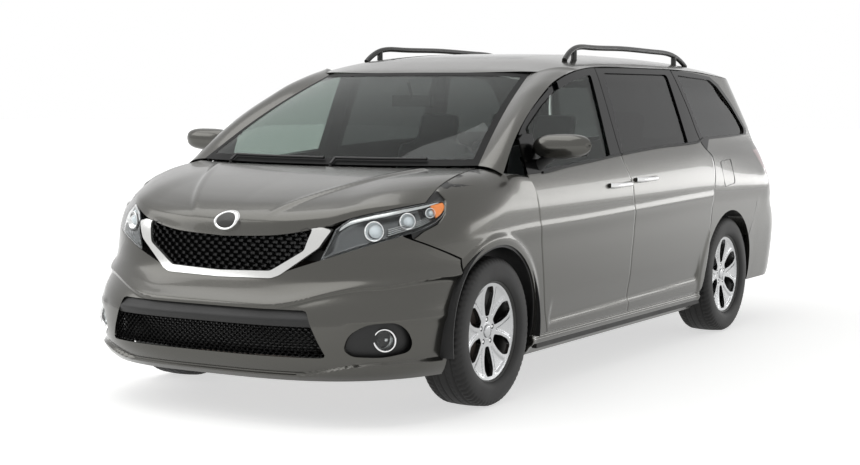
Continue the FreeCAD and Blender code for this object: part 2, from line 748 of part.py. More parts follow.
ROOF_FRONT = spots(ROOF_FRONT_SHARES)
ROOF_REAR = spots(ROOF_REAR_SHARES)
GLASS_BOW = size("glass_bow")
FRONT_ARCH = across_disc(0, HALF_WIDTH * 1.2, FRONT_AXLE, HUB, size("arch_radius"))
REAR_ARCH = across_disc(0, HALF_WIDTH * 1.2, REAR_AXLE, HUB, size("arch_radius"))
OUTSIDE = HALF_WIDTH * 1.2


def tube(points, radius):
    curve = Part.BSplineCurve()
    curve.interpolate(points)
    path = Part.Wire([curve.toShape()])
    start = curve.value(curve.FirstParameter)
    heading = curve.tangent(curve.FirstParameter)[0]
    section = Part.Wire([Part.makeCircle(radius, start, heading)])
    return path.makePipeShell([section], True, True)


def largest(shape):
    return max(shape.Solids, key=lambda solid: solid.Volume)


PILLAR = size("pillar_wall")
# Front end.
def nose_shell(z0, z1, depth, set_in=0, rows=10, columns=30):
    def point(u, v):
        return nose_point(u, z0 + (z1 - z0) * v)
    return panel(moved_in(point, set_in) if set_in else point, columns, rows, depth)


def lamp_body(spread, depth, set_out=0):
    def point(u, v):
        return lamp_point(0.004 + 0.985 * u, v, spread)
    return panel(moved_in(point, -set_out) if set_out else point, 12, 5, depth + set_out, 0.01)


# Doors.
def door_depth(u, v):
    z = DOOR_LOW + (place_z(DOOR_TOP_SHARE) - DOOR_LOW) * v
    low, high = size("door_depth"), size("frame_depth")
    share = min(1, max(0, (z / BELT - 0.86) / 0.18))
    share = share * share * (3 - 2 * share)
    return low + (high - low) * share


def window_prism(table, spread=0):
    outline = side_outline(table)
    my = sum(y for y, _ in outline) / len(outline)
    mz = sum(z for _, z in outline) / len(outline)
    grown = []
    for y, z in outline:
        grown.append((y + spread * (y - my) / abs(y - my), z + spread * (z - mz) / abs(z - mz)))
    return side_prism(grown, HALF_WIDTH * 0.4, OUTSIDE)


def pane(point, table):
    skin = panel(moved_in(point, size("glass_set")), 10, 12, size("glass_wall"), 0.0)
    return skin.common(window_prism(table, -CLOSE))


NEAR = HALF_WIDTH * 0.4
TOP_Z = place_z(DOOR_TOP_SHARE)
CORNER_Z = place_z(PILLAR_FOOT_SHARE)
# The front door: its front edge up to the mirror, the slanted edge along the windshield
# pillar, and its rear edge.
front_low = seam_points(DOOR_FRONT_SHARES, SEAM / 2, DOOR_LOW, CORNER_Z, 8, NEAR)
front_high = [V(NEAR, place_y(a) + SEAM / 2, place_z(b) - SEAM / 2) for a, b in PILLAR_SEAM_SHARES]
rear_up = seam_points(DOOR_REAR_SHARES, -SEAM / 2, DOOR_LOW, TOP_Z, 8, NEAR)
DOOR_PRISM = curved_prism([front_low, front_high, list(reversed(rear_up))], V(OUTSIDE - NEAR, 0, 0))
space_low = seam_points(DOOR_FRONT_SHARES, -SEAM / 2, DOOR_LOW - SEAM, CORNER_Z, 8, NEAR)
space_high = [V(NEAR, place_y(a) - SEAM / 2, place_z(b) + SEAM / 2) for a, b in PILLAR_SEAM_SHARES]
space_rear = [V(NEAR, place_y(PILLAR_SEAM_SHARES[-1][0]) + SEAM * 2, TOP_Z + SEAM), V(NEAR, 0, TOP_Z), V(NEAR, 0, DOOR_LOW - SEAM)]
DOOR_SPACE = curved_prism([space_low, space_high, space_rear[:2], space_rear[1:]], V(OUTSIDE - NEAR, 0, 0))
slide_front = seam_points(DOOR_REAR_SHARES, SEAM / 2, DOOR_LOW, TOP_Z, 8, NEAR)
slide_rear = seam_points(SLIDE_REAR_SHARES, -SEAM / 2, DOOR_LOW, TOP_Z, 14, NEAR)
SLIDE_PRISM = curved_prism([slide_front, list(reversed(slide_rear))], V(OUTSIDE - NEAR, 0, 0))
SHUT_SLOPE = 0.16
shut = [V(p.x, p.y - SHUT_SLOPE * (flank(p.y, p.z) - NEAR), p.z) for p in rear_up]
SHUT_PRISM = curved_prism([[V(NEAR, FRONT_AXLE, shut[0].z), V(NEAR, FRONT_AXLE, shut[-1].z)], list(reversed(shut))],
                          V(OUTSIDE - NEAR, SHUT_SLOPE * (OUTSIDE - NEAR), 0))
door_slab = panel(front_door_point, 12, 18, door_depth, 0)
door = door_slab.common(DOOR_PRISM).common(SHUT_PRISM).cut(window_prism(FRONT_WINDOW_SHARES))
hinge_y = place_y(HINGE_STATION_SHARE)
hinge_x = HALF_WIDTH - size("hinge_inset")
knuckle_r = size("hinge_knuckle")
nose_x = HALF_WIDTH - size("door_nose_wall")
door = door.cut(box(0, nose_x, place_y(1), hinge_y + knuckle_r + SEAM, 0, place_z(PILLAR_FOOT_SHARE)))
for level in HINGE_LEVEL_SHARES:
    z = place_z(level)
    half, pocket = size("hinge_half"), size("hinge_pocket")
    door = door.cut(box(0, hinge_x + knuckle_r + CLOSE * 7, place_y(1), hinge_y + knuckle_r + SEAM / 2, z - pocket, z + pocket))
    door = door.fuse([Part.makeCylinder(knuckle_r, pocket - half + CLOSE * 2, V(hinge_x, hinge_y, z + half + CLOSE)),
                      Part.makeCylinder(knuckle_r, pocket - half + CLOSE * 2, V(hinge_x, hinge_y, z - pocket - CLOSE * 3))])


def handle(front, rear, level):
    """A pull bar on two feet that stand on the door's skin."""
    z, out = place_z(level), size("handle_wall")
    points = [V(flank(y, z) + far, y, z) for y, far in (
        (front, 0), (front + out * 0.5, out * 0.8), ((front + rear) / 2, out), (rear - out * 0.5, out * 0.8), (rear, 0))]
    return tube(points, size("handle_height") * 0.32)


door = door.fuse(handle(place_y(HANDLE_SHARES[0]), place_y(HANDLE_SHARES[1]), HANDLE_SHARES[2]))
DOOR_GLASS = largest(pane(front_door_point, FRONT_WINDOW_SHARES).cut(door))
slide = panel(slide_point, 12, 18, door_depth, 0)
slide = slide.common(SLIDE_PRISM).cut(window_prism(SLIDE_WINDOW_SHARES))
slide = slide.fuse(handle(place_y(HANDLE_SHARES[3]), place_y(HANDLE_SHARES[4]), HANDLE_SHARES[5]))

FENDER = panel(fender_point, 14, 14, size("skin_wall"))
LAMP = lamp_body(0, size("lamp_depth"))
LAMP_TOOL = lamp_body(SEAM * 0.75, size("lamp_depth") * 2, size("bumper_wall"))
BUMPER_ABOVE = front_prism([(x * 1, z) for x, z in
                            [(a * HALF_WIDTH, place_z(b)) for a, b in BUMPER_TOP_SHARES]],
                           NOSE_Y - SEAM, FRONT_AXLE)
hood_plan = [V(0, NOSE_Y, place_z(0.8)), V(HOOD_FRONT[-2].x, HOOD_FRONT[-2].y, place_z(0.8)),
             V(HOOD_FRONT[-1].x, HOOD_FRONT[-1].y, place_z(0.8)), V(HOOD_REAR[-1].x, HOOD_REAR[-1].y, place_z(0.8)),
             V(0, HOOD_REAR[-1].y, place_z(0.8))]
HOOD_SPACE = Part.Face(Part.makePolygon(hood_plan + hood_plan[:1])).extrude(V(0, 0, ROOF))
FENDER = FENDER.cut([FRONT_ARCH, LAMP_TOOL, DOOR_SPACE, HOOD_SPACE,
                     box(0, nose_x + HALF_WIDTH * 0.03, hinge_y - size("hinge_half") * 1.5, 0, 0, place_z(0.5))])
fender_clear = front_prism([(a * HALF_WIDTH, place_z(b) + SEAM / 2) for a, b in BUMPER_TOP_SHARES[:11]]
                           + [(OUTSIDE, place_z(0.5)), (OUTSIDE, place_z(0.1)), (0, place_z(0.1))],
                           NOSE_Y - SEAM, place_y(0.745))
FENDER = FENDER.cut(fender_clear)
piece("front_fenders", *both(FENDER))


def half_prisms(table, near, far, sign=1):
    outline = [(a * HALF_WIDTH, place_z(b)) for a, b in table]
    return front_prism(outline, near, far)


def low_grille_prism(spread):
    outline = [(a * HALF_WIDTH, place_z(b)) for a, b in LOW_GRILLE_SHARES]
    middle = sum(z for _, z in outline) / 4
    grown = [(x + math.copysign(spread, x), z + math.copysign(spread, z - middle)) for x, z in outline]
    return front_prism(grown, NOSE_Y - SEAM, NOSE_Y + FRONT_OVERHANG / 2)


def ring_outline(table, spread=0):
    """The grille trim's outline on both sides of the middle."""
    right = [(a * HALF_WIDTH, place_z(b)) for a, b in table]
    middle = sum(z for _, z in right) / len(right)
    right = [(x + (spread if x else 0), z + math.copysign(spread, z - middle)) for x, z in right]
    left = [(-x, z) for x, z in reversed(right[1:-1])]
    return right + left


FOG_AT = [V(sign * FOG_X_SHARE * HALF_WIDTH, 0, place_z(FOG_Z_SHARE)) for sign in (1, -1)]
FOG_SKIN = diagonal(V(FOG_AT[0].x, place_y(FOG_Y_SHARE), FOG_AT[0].z))
FOG_AXIS = V(FOG_LEAN_SHARE, -1, 0)
FOG_AXIS.normalize()
FOG_TOOL = rod(FOG_SKIN - FOG_AXIS * size("grille_depth") * 3, FOG_SKIN + FOG_AXIS * size("lamp_depth") * 2,
               size("fog_radius") + SEAM)

bumper = nose_shell(NOSE_LOW, place_z(BUMPER_HIGH_SHARE), size("bumper_wall"), 0, 18, 44)
above = BUMPER_ABOVE.fuse(mirrored(BUMPER_ABOVE))
bumper = bumper.cut([above, FRONT_ARCH, mirrored(FRONT_ARCH), LAMP_TOOL, mirrored(LAMP_TOOL),
                     low_grille_prism(0), FOG_TOOL, mirrored(FOG_TOOL)])
trim_outer = front_prism(ring_outline(TRIM_OUTER_SHARES, CLOSE), NOSE_Y - SEAM, NOSE_Y + FRONT_OVERHANG / 2)
bumper = bumper.cut(trim_outer)
piece("front_bumper", bumper)

trim_shell = nose_shell(place_z(TRIM_LOW_SHARE), place_z(TRIM_HIGH_SHARE), size("grille_depth"))
TRIM_PRISM = front_prism(ring_outline(TRIM_OUTER_SHARES), NOSE_Y - SEAM, NOSE_Y + FRONT_OVERHANG / 2)
TRIM_HOLE = front_prism(ring_outline(TRIM_INNER_SHARES), NOSE_Y - SEAM, NOSE_Y + FRONT_OVERHANG / 2)
trim_ring = trim_shell.common(TRIM_PRISM).cut(TRIM_HOLE)
piece("grille_trim", trim_ring)
grille_shell = nose_shell(place_z(TRIM_LOW_SHARE), place_z(TRIM_HIGH_SHARE), size("grille_wall"),
                          size("grille_set"))
GRILLE_PRISM = front_prism(ring_outline(TRIM_INNER_SHARES, -CLOSE), NOSE_Y - SEAM, NOSE_Y + FRONT_OVERHANG / 2)
piece("upper_grille", largest(grille_shell.common(GRILLE_PRISM).cut(trim_ring)))
lower_shell = nose_shell(place_z(0.27), place_z(0.475), size("grille_wall"), size("grille_set"), 4, 24)
piece("lower_grille", largest(lower_shell.common(low_grille_prism(-CLOSE)).cut(bumper)))
piece("headlamps", *both(LAMP))
FOG = rod(FOG_SKIN - FOG_AXIS * size("lamp_depth") * 0.6, FOG_SKIN - FOG_AXIS * SEAM, size("fog_radius") + SEAM - CLOSE)
piece("fog_lamps", *both(FOG))

# Hood, windshield, pillars and roof.
HOOD = panel(hood_point, 24, 16, size("hood_wall"), 0.012)
HOOD = HOOD.cut([LAMP_TOOL, mirrored(LAMP_TOOL),
                 front_prism(ring_outline(TRIM_OUTER_SHARES, SEAM), NOSE_Y - SEAM, NOSE_Y + FRONT_OVERHANG / 2)])
WINDSHIELD = panel(glass_point, 16, 8, size("glass_wall") * 1.2, 0.001)
piece("windshield", WINDSHIELD)
PILLAR_SKIN = panel(pillar_point, 6, 12, size("pillar_wall"), 0.03)
ROOF_PANEL = panel(roof_point, 18, 24, size("roof_wall"), 0.004)
rim_line = [V(NEAR, place_y(a), place_z(b)) for a, b in ROOF_SIDE_SHARES]
below_rim = curved_prism([rim_line, [V(NEAR, rim_line[-1].y, BELT), V(NEAR, rim_line[0].y, BELT)]],
                         V(OUTSIDE - NEAR, 0, 0))
ROOF_PANEL = ROOF_PANEL.cut([below_rim, mirrored(below_rim), DOOR_SPACE, mirrored(DOOR_SPACE)])
A_PILLAR = max(PILLAR_SKIN.cut([DOOR_SPACE, ROOF_PANEL, FENDER]).Solids, key=lambda solid: solid.Volume)
piece("windshield_pillars", *both(A_PILLAR))
sun = box(-HALF_WIDTH * 0.42, HALF_WIDTH * 0.42, place_y(1.42), place_y(1.62), BELT, ROOF * 1.1)
sun_in = box(-HALF_WIDTH * 0.42 + CLOSE, HALF_WIDTH * 0.42 - CLOSE, place_y(1.42) + CLOSE,
             place_y(1.62) - CLOSE, BELT, ROOF * 1.1)
piece("sunroof_glass", ROOF_PANEL.common(sun_in))

quarter = panel(quarter_point, 20, 18, door_depth, 0.006)
TAIL_TOOL = side_prism(side_outline(TAIL_LAMP_SHARES), HALF_WIDTH * 0.3, OUTSIDE)
BUMP_TOOL = side_prism(side_outline(REAR_SEAM_SHARES) + [(place_y(3.3), place_z(0)), (place_y(2.3), place_z(0))],
                       HALF_WIDTH * 0.3, OUTSIDE)
LAMPS = quarter.common(TAIL_TOOL)
above_roof = [V(NEAR, place_y(a), place_z(b) - SEAM / 2) for a, b in ROOF_SIDE_SHARES[3:]]
above_roof = curved_prism([above_roof, [V(NEAR, LENGTH / 2, ROOF), V(NEAR, above_roof[0].y, ROOF)]],
                          V(OUTSIDE - NEAR, 0, 0))
SLIDE_SPACE = SLIDE_PRISM.copy()
SLIDE_SPACE.translate(V(0, SEAM, 0))
quarter = quarter.cut([SLIDE_SPACE, above_roof, window_prism(QUARTER_WINDOW_SHARES), REAR_ARCH, TAIL_TOOL, BUMP_TOOL])
quarter_pane = pane(quarter_point, QUARTER_WINDOW_SHARES)

piece("front_door_left", door)
piece("front_door_right", mirrored(door))
piece("front_door_glass_left", DOOR_GLASS)
piece("front_door_glass_right", mirrored(DOOR_GLASS))
piece("sliding_doors", *both(slide))
piece("sliding_door_glasses", *both(pane(slide_point, SLIDE_WINDOW_SHARES)))
piece("quarter_glasses", *both(quarter_pane))
piece("tail_lamps", *both(LAMPS))

# Tail.
def rear_shell(z0, z1, depth, rows, columns):
    return panel(lambda u, v: tail_point(u, z0 + (z1 - z0) * v), columns, rows, depth)


rear_bumper = rear_shell(DOOR_LOW, place_z(REAR_STEP_SHARE), size("bumper_wall"), 12, 36)
bump_keep = BUMP_TOOL.fuse(mirrored(BUMP_TOOL)).fuse(
    box(-HALF_WIDTH * 0.72, HALF_WIDTH * 0.72, REAR_AXLE, LENGTH, 0, place_z(REAR_STEP_SHARE) - SEAM / 2))
gate_half = HALF_WIDTH * along(GATE_WIDTH_SHARES, 0.65) + SEAM * 2
rear_bumper = rear_bumper.common(bump_keep).cut([REAR_ARCH, mirrored(REAR_ARCH),
                                                 box(-gate_half, gate_half, REAR_AXLE, LENGTH, place_z(GATE_LOW_SHARE) - SEAM / 2, ROOF)])
piece("rear_bumper", rear_bumper)
gate = panel(gate_point, 20, 20, size("tailgate_wall"), 0.012)
roof_space = ROOF_PANEL.copy()
roof_space.translate(V(0, SEAM * 0.75, -SEAM * 0.6))
gate = gate.cut([box(-HALF_WIDTH, HALF_WIDTH, REAR_AXLE, LENGTH, 0, place_z(GATE_LOW_SHARE) + SEAM / 2), roof_space])
gate = max(gate.Solids, key=lambda solid: solid.Volume)


def spoiler_point(u, v):
    """The spoiler's top: the roof's own crown carried on past the seam."""
    share = (2 * u - 1) * SPOILER_SHARE
    front = on_line(ROOF_REAR, abs(share)).y + SEAM
    y = front + (place_y(SPOILER_END_SHARE) - SEAM * 3 * share * share - front) * v
    station = station_of(y)
    side_z = place_z(along(ROOF_SIDE_SHARES, station))
    side_x = flank(ROOF_REAR[-1].y, side_z) * (1 - 0.08 * v)
    z = side_z + (place_z(along(CROWN_SHARES, station)) - side_z) * (1 - abs(share) ** ROOF_ROUND_SHARE)
    return V(share * side_x, y, z)


spoiler = panel(spoiler_point, 16, 6, size("roof_wall") * 0.7, 0.004)
HINGE_X = HALF_WIDTH * GATE_HINGE_SHARE
hinge_at = roof_point(0.5 + HINGE_X / flank(ROOF_REAR[2].y, place_z(1.8)) / 2, 1)
GATE_AXIS = V(0, hinge_at.y + SEAM / 2, hinge_at.z)
pin_r, leaf = size("gate_hinge_radius"), size("gate_hinge_leaf")


def gate_knuckle(x0, x1, spread=0):
    return across_disc(x0 - spread, x1 + spread, GATE_AXIS.y, GATE_AXIS.z, pin_r + spread)


roof_knuckles, gate_knuckles, roof_rooms, gate_rooms = [], [], [], []
for x in (HINGE_X, -HINGE_X):
    roof_knuckles.append(gate_knuckle(x - leaf / 2, x + leaf / 2))
    gate_rooms.append(gate_knuckle(x - leaf / 2, x + leaf / 2, CLOSE))
    for side in (-1, 1):
        a, b = sorted((x + side * (leaf / 2 + CLOSE), x + side * leaf * 1.5))
        gate_knuckles.append(gate_knuckle(a, b))
        roof_rooms.append(gate_knuckle(a, b, CLOSE))
gate = gate.fuse(spoiler).cut(gate_rooms).fuse(gate_knuckles)
GATE_WINDOW = front_prism([(a * HALF_WIDTH, place_z(b)) for a, b in GATE_WINDOW_SHARES],
                          REAR_AXLE, LENGTH)
GATE_WINDOW_FIT = front_prism([(a * HALF_WIDTH - math.copysign(CLOSE, a), place_z(b) + (CLOSE if b < 1.4 else -CLOSE))
                               for a, b in GATE_WINDOW_SHARES], REAR_AXLE, LENGTH)
piece("tailgate", largest(gate.cut(GATE_WINDOW)))
piece("roof_panel", ROOF_PANEL.cut(sun).cut(roof_rooms).fuse(roof_knuckles))
piece("tailgate_glass", panel(moved_in(gate_point, size("glass_set")), 16, 16, size("glass_wall"), 0)
      .common(GATE_WINDOW_FIT))

# Roof rails.
RAIL_TOP = [spot(x, y, z) for x, y, z in RAIL_SHARES]


rail = tube(RAIL_TOP, size("rail_radius"))
feet = [rod(V(p.x, p.y, p.z), V(p.x, p.y, p.z - size("rail_height") * 3), size("rail_radius") * 1.1)
        for p in (RAIL_TOP[1], RAIL_TOP[-2])]
RAIL = largest(rail.fuse(feet).cut(ROOF_PANEL))
piece("roof_rails", *both(RAIL))


# Structure behind the skins.
FLOOR = size("floor_height")
wall = size("floor_wall")
UNDER = FLOOR - wall
INNER = flank(0, DOOR_LOW) - size("door_depth") - SEAM
WELL = size("liner_radius")
SHEET_WALL = size("liner_wall")
FRONT_WELL = size("liner_inner")
REAR_WELL = size("rear_liner_inner")


def on_both(near, far, y, z, radius):
    disc = across_disc(near, far, y, z, radius)
    return [disc, mirrored(disc)]


floor = box(-INNER, INNER, place_y(1.10), place_y(2.88), UNDER, FLOOR)
firewall = box(-INNER, INNER, place_y(1.10), place_y(1.10) + PILLAR, FLOOR, place_z(0.86))
floor = floor.fuse(firewall)
floor = floor.cut(on_both(REAR_WELL, OUTSIDE, REAR_AXLE, HUB, WELL + SHEET_WALL)
                  + on_both(FRONT_WELL, OUTSIDE, FRONT_AXLE, HUB, WELL + SHEET_WALL) + [rear_bumper])
floor = largest(floor)
rear_liner = across_disc(REAR_WELL, HALF_WIDTH * 0.94, REAR_AXLE, HUB, WELL + SHEET_WALL)
rear_liner = rear_liner.cut([across_disc(REAR_WELL + SHEET_WALL, OUTSIDE, REAR_AXLE, HUB, WELL),
                             box(0, OUTSIDE, 0, LENGTH, -HUB, UNDER), quarter, rear_bumper, slide])
rear_liner = largest(rear_liner)
piece("floor_pan", floor)
piece("rear_wheelhouses", *both(rear_liner))
sill = box(INNER - PILLAR * 1.5, HALF_WIDTH * 0.955, place_y(1.157), place_y(1.865), size("sill_height"),
           DOOR_LOW - SEAM)
sill = sill.fuse([box(INNER - PILLAR * 1.5, INNER - SEAM, place_y(1.157), place_y(1.86), DOOR_LOW - SEAM * 2, UNDER)]
                 + [box(HALF_WIDTH * 0.91, HALF_WIDTH * 0.93, place_y(a), place_y(a) + PILLAR, DOOR_LOW - SEAM * 2,
                        DOOR_LOW) for a in (1.54, 1.80)])
sill = sill.cut(on_both(FRONT_WELL, OUTSIDE, FRONT_AXLE, HUB, WELL + SHEET_WALL)
                + on_both(REAR_WELL, OUTSIDE, REAR_AXLE, HUB, WELL + SHEET_WALL))
piece("body_sides", *both(largest(quarter)))
piece("sills", *both(largest(sill)))
hinge_y = place_y(HINGE_STATION_SHARE)
hinge_x = HALF_WIDTH - size("hinge_inset")
straps = []
for level in HINGE_LEVEL_SHARES:
    z = place_z(level)
    half = size("hinge_half")
    knuckle_r = size("hinge_knuckle")
    straps.append(box(INNER - SEAM * 2, hinge_x, hinge_y - knuckle_r, hinge_y + knuckle_r, z - half, z + half))
    straps.append(Part.makeCylinder(knuckle_r, half * 2, V(hinge_x, hinge_y, z - half)))
pillar_a = box(INNER - PILLAR - SEAM, INNER - SEAM, place_y(1.146), place_y(1.186), FLOOR, place_z(0.79))
pillar_a = pillar_a.fuse(straps)
pillar_b = box(INNER - PILLAR - SEAM, INNER - SEAM, place_y(1.485), place_y(1.515), FLOOR, place_z(0.93))
piece("door_pillars", *both(pillar_a), *both(pillar_b))
front_liner = across_disc(FRONT_WELL, HALF_WIDTH, FRONT_AXLE, HUB, WELL + SHEET_WALL)
front_liner = front_liner.cut([across_disc(FRONT_WELL + SHEET_WALL, OUTSIDE, FRONT_AXLE, HUB, WELL),
                               box(0, OUTSIDE, NOSE_Y, 0, -HUB, HUB * 0.8), FENDER, bumper])
front_liner = largest(front_liner)
beam = size("beam_height")
rail_front = box(FRONT_WELL - beam * 0.6, FRONT_WELL, place_y(0.25), place_y(1.10), HUB + beam, HUB + beam * 2)
post = box(FRONT_WELL - beam * 0.6, FRONT_WELL, place_y(0.25), place_y(0.25) + beam * 0.4, place_z(0.25), place_z(0.66))
cross = [box(-FRONT_WELL, FRONT_WELL, place_y(0.25), place_y(0.25) + beam * 0.4, place_z(a), place_z(a) + beam * 0.5)
         for a in (0.25, 0.64)]
rails = rail_front.fuse(post)
piece("front_structure", largest(rails.fuse(cross + [mirrored(rails)]).cut([LAMP, mirrored(LAMP)])))
piece("front_wheelhouses", *both(front_liner))
COWL_TOP = place_z(0.947)
cowl = box(-HALF_WIDTH * 0.8, HALF_WIDTH * 0.8, place_y(0.993), place_y(1.032), place_z(0.90), COWL_TOP)
shelf = box(-HALF_WIDTH * 0.74, HALF_WIDTH * 0.74, place_y(1.02), place_y(1.10) + PILLAR, place_z(0.90), place_z(0.915))
apron = box(-HALF_WIDTH * 0.74, HALF_WIDTH * 0.74, place_y(1.10), place_y(1.10) + PILLAR, place_z(0.86), place_z(0.90))
cowl = cowl.fuse([shelf, apron])
arm_x0, pin = HALF_WIDTH * HOOD_HINGE_SHARES[0], size("hood_hinge_radius")
HOOD_AXIS = V(0, place_y(HOOD_HINGE_SHARES[1]), place_z(HOOD_HINGE_SHARES[2]))
arm_w = size("hood_hinge_leaf")
ears, arms = [], []
for sign in (1, -1):
    for shift, width, group in ((0, arm_w, ears), (-arm_w - CLOSE, arm_w, arms), (arm_w + CLOSE, arm_w, arms)):
        a, b = sorted((sign * (arm_x0 + shift), sign * (arm_x0 + shift + width)))
        group.append(across_disc(a, b, HOOD_AXIS.y, HOOD_AXIS.z, pin))
        if group is ears:
            group.append(box(a, b, HOOD_AXIS.y - pin, HOOD_AXIS.y + pin, COWL_TOP - SEAM, HOOD_AXIS.z))
        else:
            group.append(box(a, b, HOOD_AXIS.y - size("hood_hinge_reach"), HOOD_AXIS.y, HOOD_AXIS.z - pin * 1.3, HOOD_AXIS.z))
piece("cowl_panel", cowl.fuse(ears))
piece("hood", largest(largest(HOOD).fuse(arms)))
dash = box(-HALF_WIDTH * 0.74, HALF_WIDTH * 0.74, place_y(1.10) + PILLAR, place_y(1.23), place_z(0.66), place_z(0.90))
column_low = V(size("seat_width") * 0.73, place_y(1.236), BELT * 0.80)
column_axis = V(0, 1, 0.42)
column_axis.normalize()
ring_at = column_low + column_axis * size("wheel_ring_radius") * 0.9
hub_foot = ring_at - column_axis * size("wheel_ring_radius") * 0.7
column = rod(column_low - column_axis * size("wheel_ring_radius") * 0.4, hub_foot - column_axis * CLOSE,
             size("wheel_ring_radius") * 0.2)
piece("dashboard", dash.fuse(column))
KING_LOW = V(size("kingpin_low_x"), FRONT_AXLE, size("kingpin_low_z"))
KING_HIGH = V(size("kingpin_high_x"), FRONT_AXLE, size("kingpin_high_z"))
KING = KING_HIGH - KING_LOW
KING.normalize()
strut_r = size("strut_radius")
strut_foot = KING_LOW + KING * (HUB - KING_LOW.z) * 2.1
strut = rod(strut_foot, KING_HIGH + KING * strut_r * 3, strut_r).cut(front_liner).cut(
    box(0, OUTSIDE, NOSE_Y, 0, HUB + WELL, ROOF))
ball_foot = KING_LOW - KING * beam * 0.6
ball_r = strut_r * 0.75
arm = rod(V(FRONT_WELL - beam, FRONT_AXLE, ball_foot.z), ball_foot, ball_r)
ball = rod(ball_foot, KING_LOW - KING * CLOSE, ball_r)
subframe = box(-FRONT_WELL + beam * 0.6, FRONT_WELL - beam * 0.6, place_y(0.85), place_y(1.08), KING_LOW.z - beam * 0.8,
               KING_LOW.z)
legs = [box(sign * (FRONT_WELL - beam * 0.3) - beam * 0.3, sign * (FRONT_WELL - beam * 0.3) + beam * 0.3,
            place_y(a), place_y(a) + beam * 0.5, KING_LOW.z - beam * 0.8, HUB + beam) for a in (0.85, 1.05)
        for sign in (1, -1)]
subframe = subframe.fuse(legs + [arm, ball, mirrored(arm), mirrored(ball)])
piece("front_suspension", subframe, *both(largest(strut)))
arm_x = REAR_WELL + SHEET_WALL + SEAM
hub_plate = box(arm_x, arm_x + beam * 0.5, REAR_AXLE - beam * 0.5, REAR_AXLE + beam * 0.5, UNDER - beam * 0.8, HUB + beam * 0.6)
trail = box(arm_x, arm_x + beam * 0.5, place_y(1.84), REAR_AXLE, UNDER - beam * 0.7, UNDER - SEAM)
pivot = box(arm_x, arm_x + beam * 0.5, place_y(1.84), place_y(1.85), UNDER - beam * 0.7, UNDER)
stub = rod(V(arm_x, REAR_AXLE, HUB), V(size("track") / 2 + size("rim_half_width") - size("rim_disc") * 1.7, REAR_AXLE, HUB),
           size("hub_bore_radius") - CLOSE)
rear_disc = across_disc(arm_x + beam * 0.5, arm_x + beam * 0.5 + size("disc_wall"), REAR_AXLE, HUB, size("disc_radius"))
side_axle = hub_plate.fuse([trail, pivot, stub, rear_disc])
piece("rear_axle", side_axle.fuse([mirrored(side_axle), box(-arm_x, arm_x, place_y(1.93), place_y(1.955),
                                                           UNDER - beam * 0.7, UNDER - SEAM)]))
piece("engine_block", box(-FRONT_WELL * 0.72, FRONT_WELL * 0.62, place_y(0.45), place_y(0.95), KING_LOW.z,
                          place_z(0.76)))
piece("fuel_tank", box(-HALF_WIDTH * 0.3, HALF_WIDTH * 0.5, place_y(1.55), place_y(1.80), size("sill_height"), UNDER))
pipe = rod(V(-HALF_WIDTH * 0.42, place_y(1.12), UNDER - beam * 0.98), V(-HALF_WIDTH * 0.42, place_y(2.6), UNDER - beam * 0.98),
           beam * 0.22)
muffler = box(-HALF_WIDTH * 0.56, -HALF_WIDTH * 0.28, place_y(2.45), place_y(2.72), UNDER - beam * 1.3, UNDER - beam * 0.3)
hangers = [box(-HALF_WIDTH * 0.43, -HALF_WIDTH * 0.41, place_y(a), place_y(a) + beam * 0.3, UNDER - beam * 0.98, UNDER)
           for a in (1.2, 1.5, 1.88, 2.5)]
piece("exhaust", pipe.fuse([muffler] + hangers))


def seat(x, y, width):
    """A seat on a plinth: cushion, back leaned rearwards and a headrest on one wide post."""
    plinth, length, wall = size("seat_plinth"), size("cushion_length"), size("back_wall")
    base = box(x - width / 2, x + width / 2, y, y + length, FLOOR + plinth, FLOOR + plinth + size("cushion_height"))
    legs = box(x - width * 0.4, x + width * 0.4, y + plinth / 2, y + length * 0.8, FLOOR, FLOOR + plinth)
    back = box(x - width * 0.46, x + width * 0.46, 0, wall, 0, size("back_height"))
    rest, top = size("headrest_height"), size("back_height")
    head = box(x - rest * 0.75, x + rest * 0.75, wall / 6, wall * 0.9, top + rest * 0.1, top + rest * 1.1)
    post = box(x - rest / 3, x + rest / 3, wall * 0.45, wall * 0.58, top - rest * 0.1, top + rest * 0.2)
    back = back.fuse([head, post])
    back.rotate(V(0, 0, 0), V(1, 0, 0), -size("back_lean"))
    back.translate(V(0, y + length - wall / 3, FLOOR + plinth * 1.65))
    return base.fuse([legs, back])


piece("front_seats", *both(seat(size("front_seat_x"), place_y(1.335), size("seat_width"))))
piece("second_row_seats", *both(seat(size("second_seat_x"), place_y(1.64), size("seat_width"))))
piece("third_row_seat", seat(0, place_y(1.93), size("seat_width") * 2.2))
hang = glass_point(0.5, MIRROR_HANG_SHARE)
up = (glass_point(0.51, MIRROR_HANG_SHARE) - glass_point(0.49, MIRROR_HANG_SHARE)).cross(
    glass_point(0.5, MIRROR_HANG_SHARE + 0.01) - glass_point(0.5, MIRROR_HANG_SHARE - 0.01))
up.normalize()
inner = size("inner_mirror_height")
stem_top = hang - up * (size("glass_wall") * 1.2 + CLOSE)
stem_low = hang - up * inner * 1.6
stem = rod(stem_low, stem_top, inner * 0.14)
glass_case = box(-inner * 2, inner * 2, stem_low.y - inner * 0.1, stem_low.y + inner * 0.3, stem_low.z - inner * 0.8,
                 stem_low.z + inner * 0.2)
piece("inner_mirror", glass_case.fuse(stem))


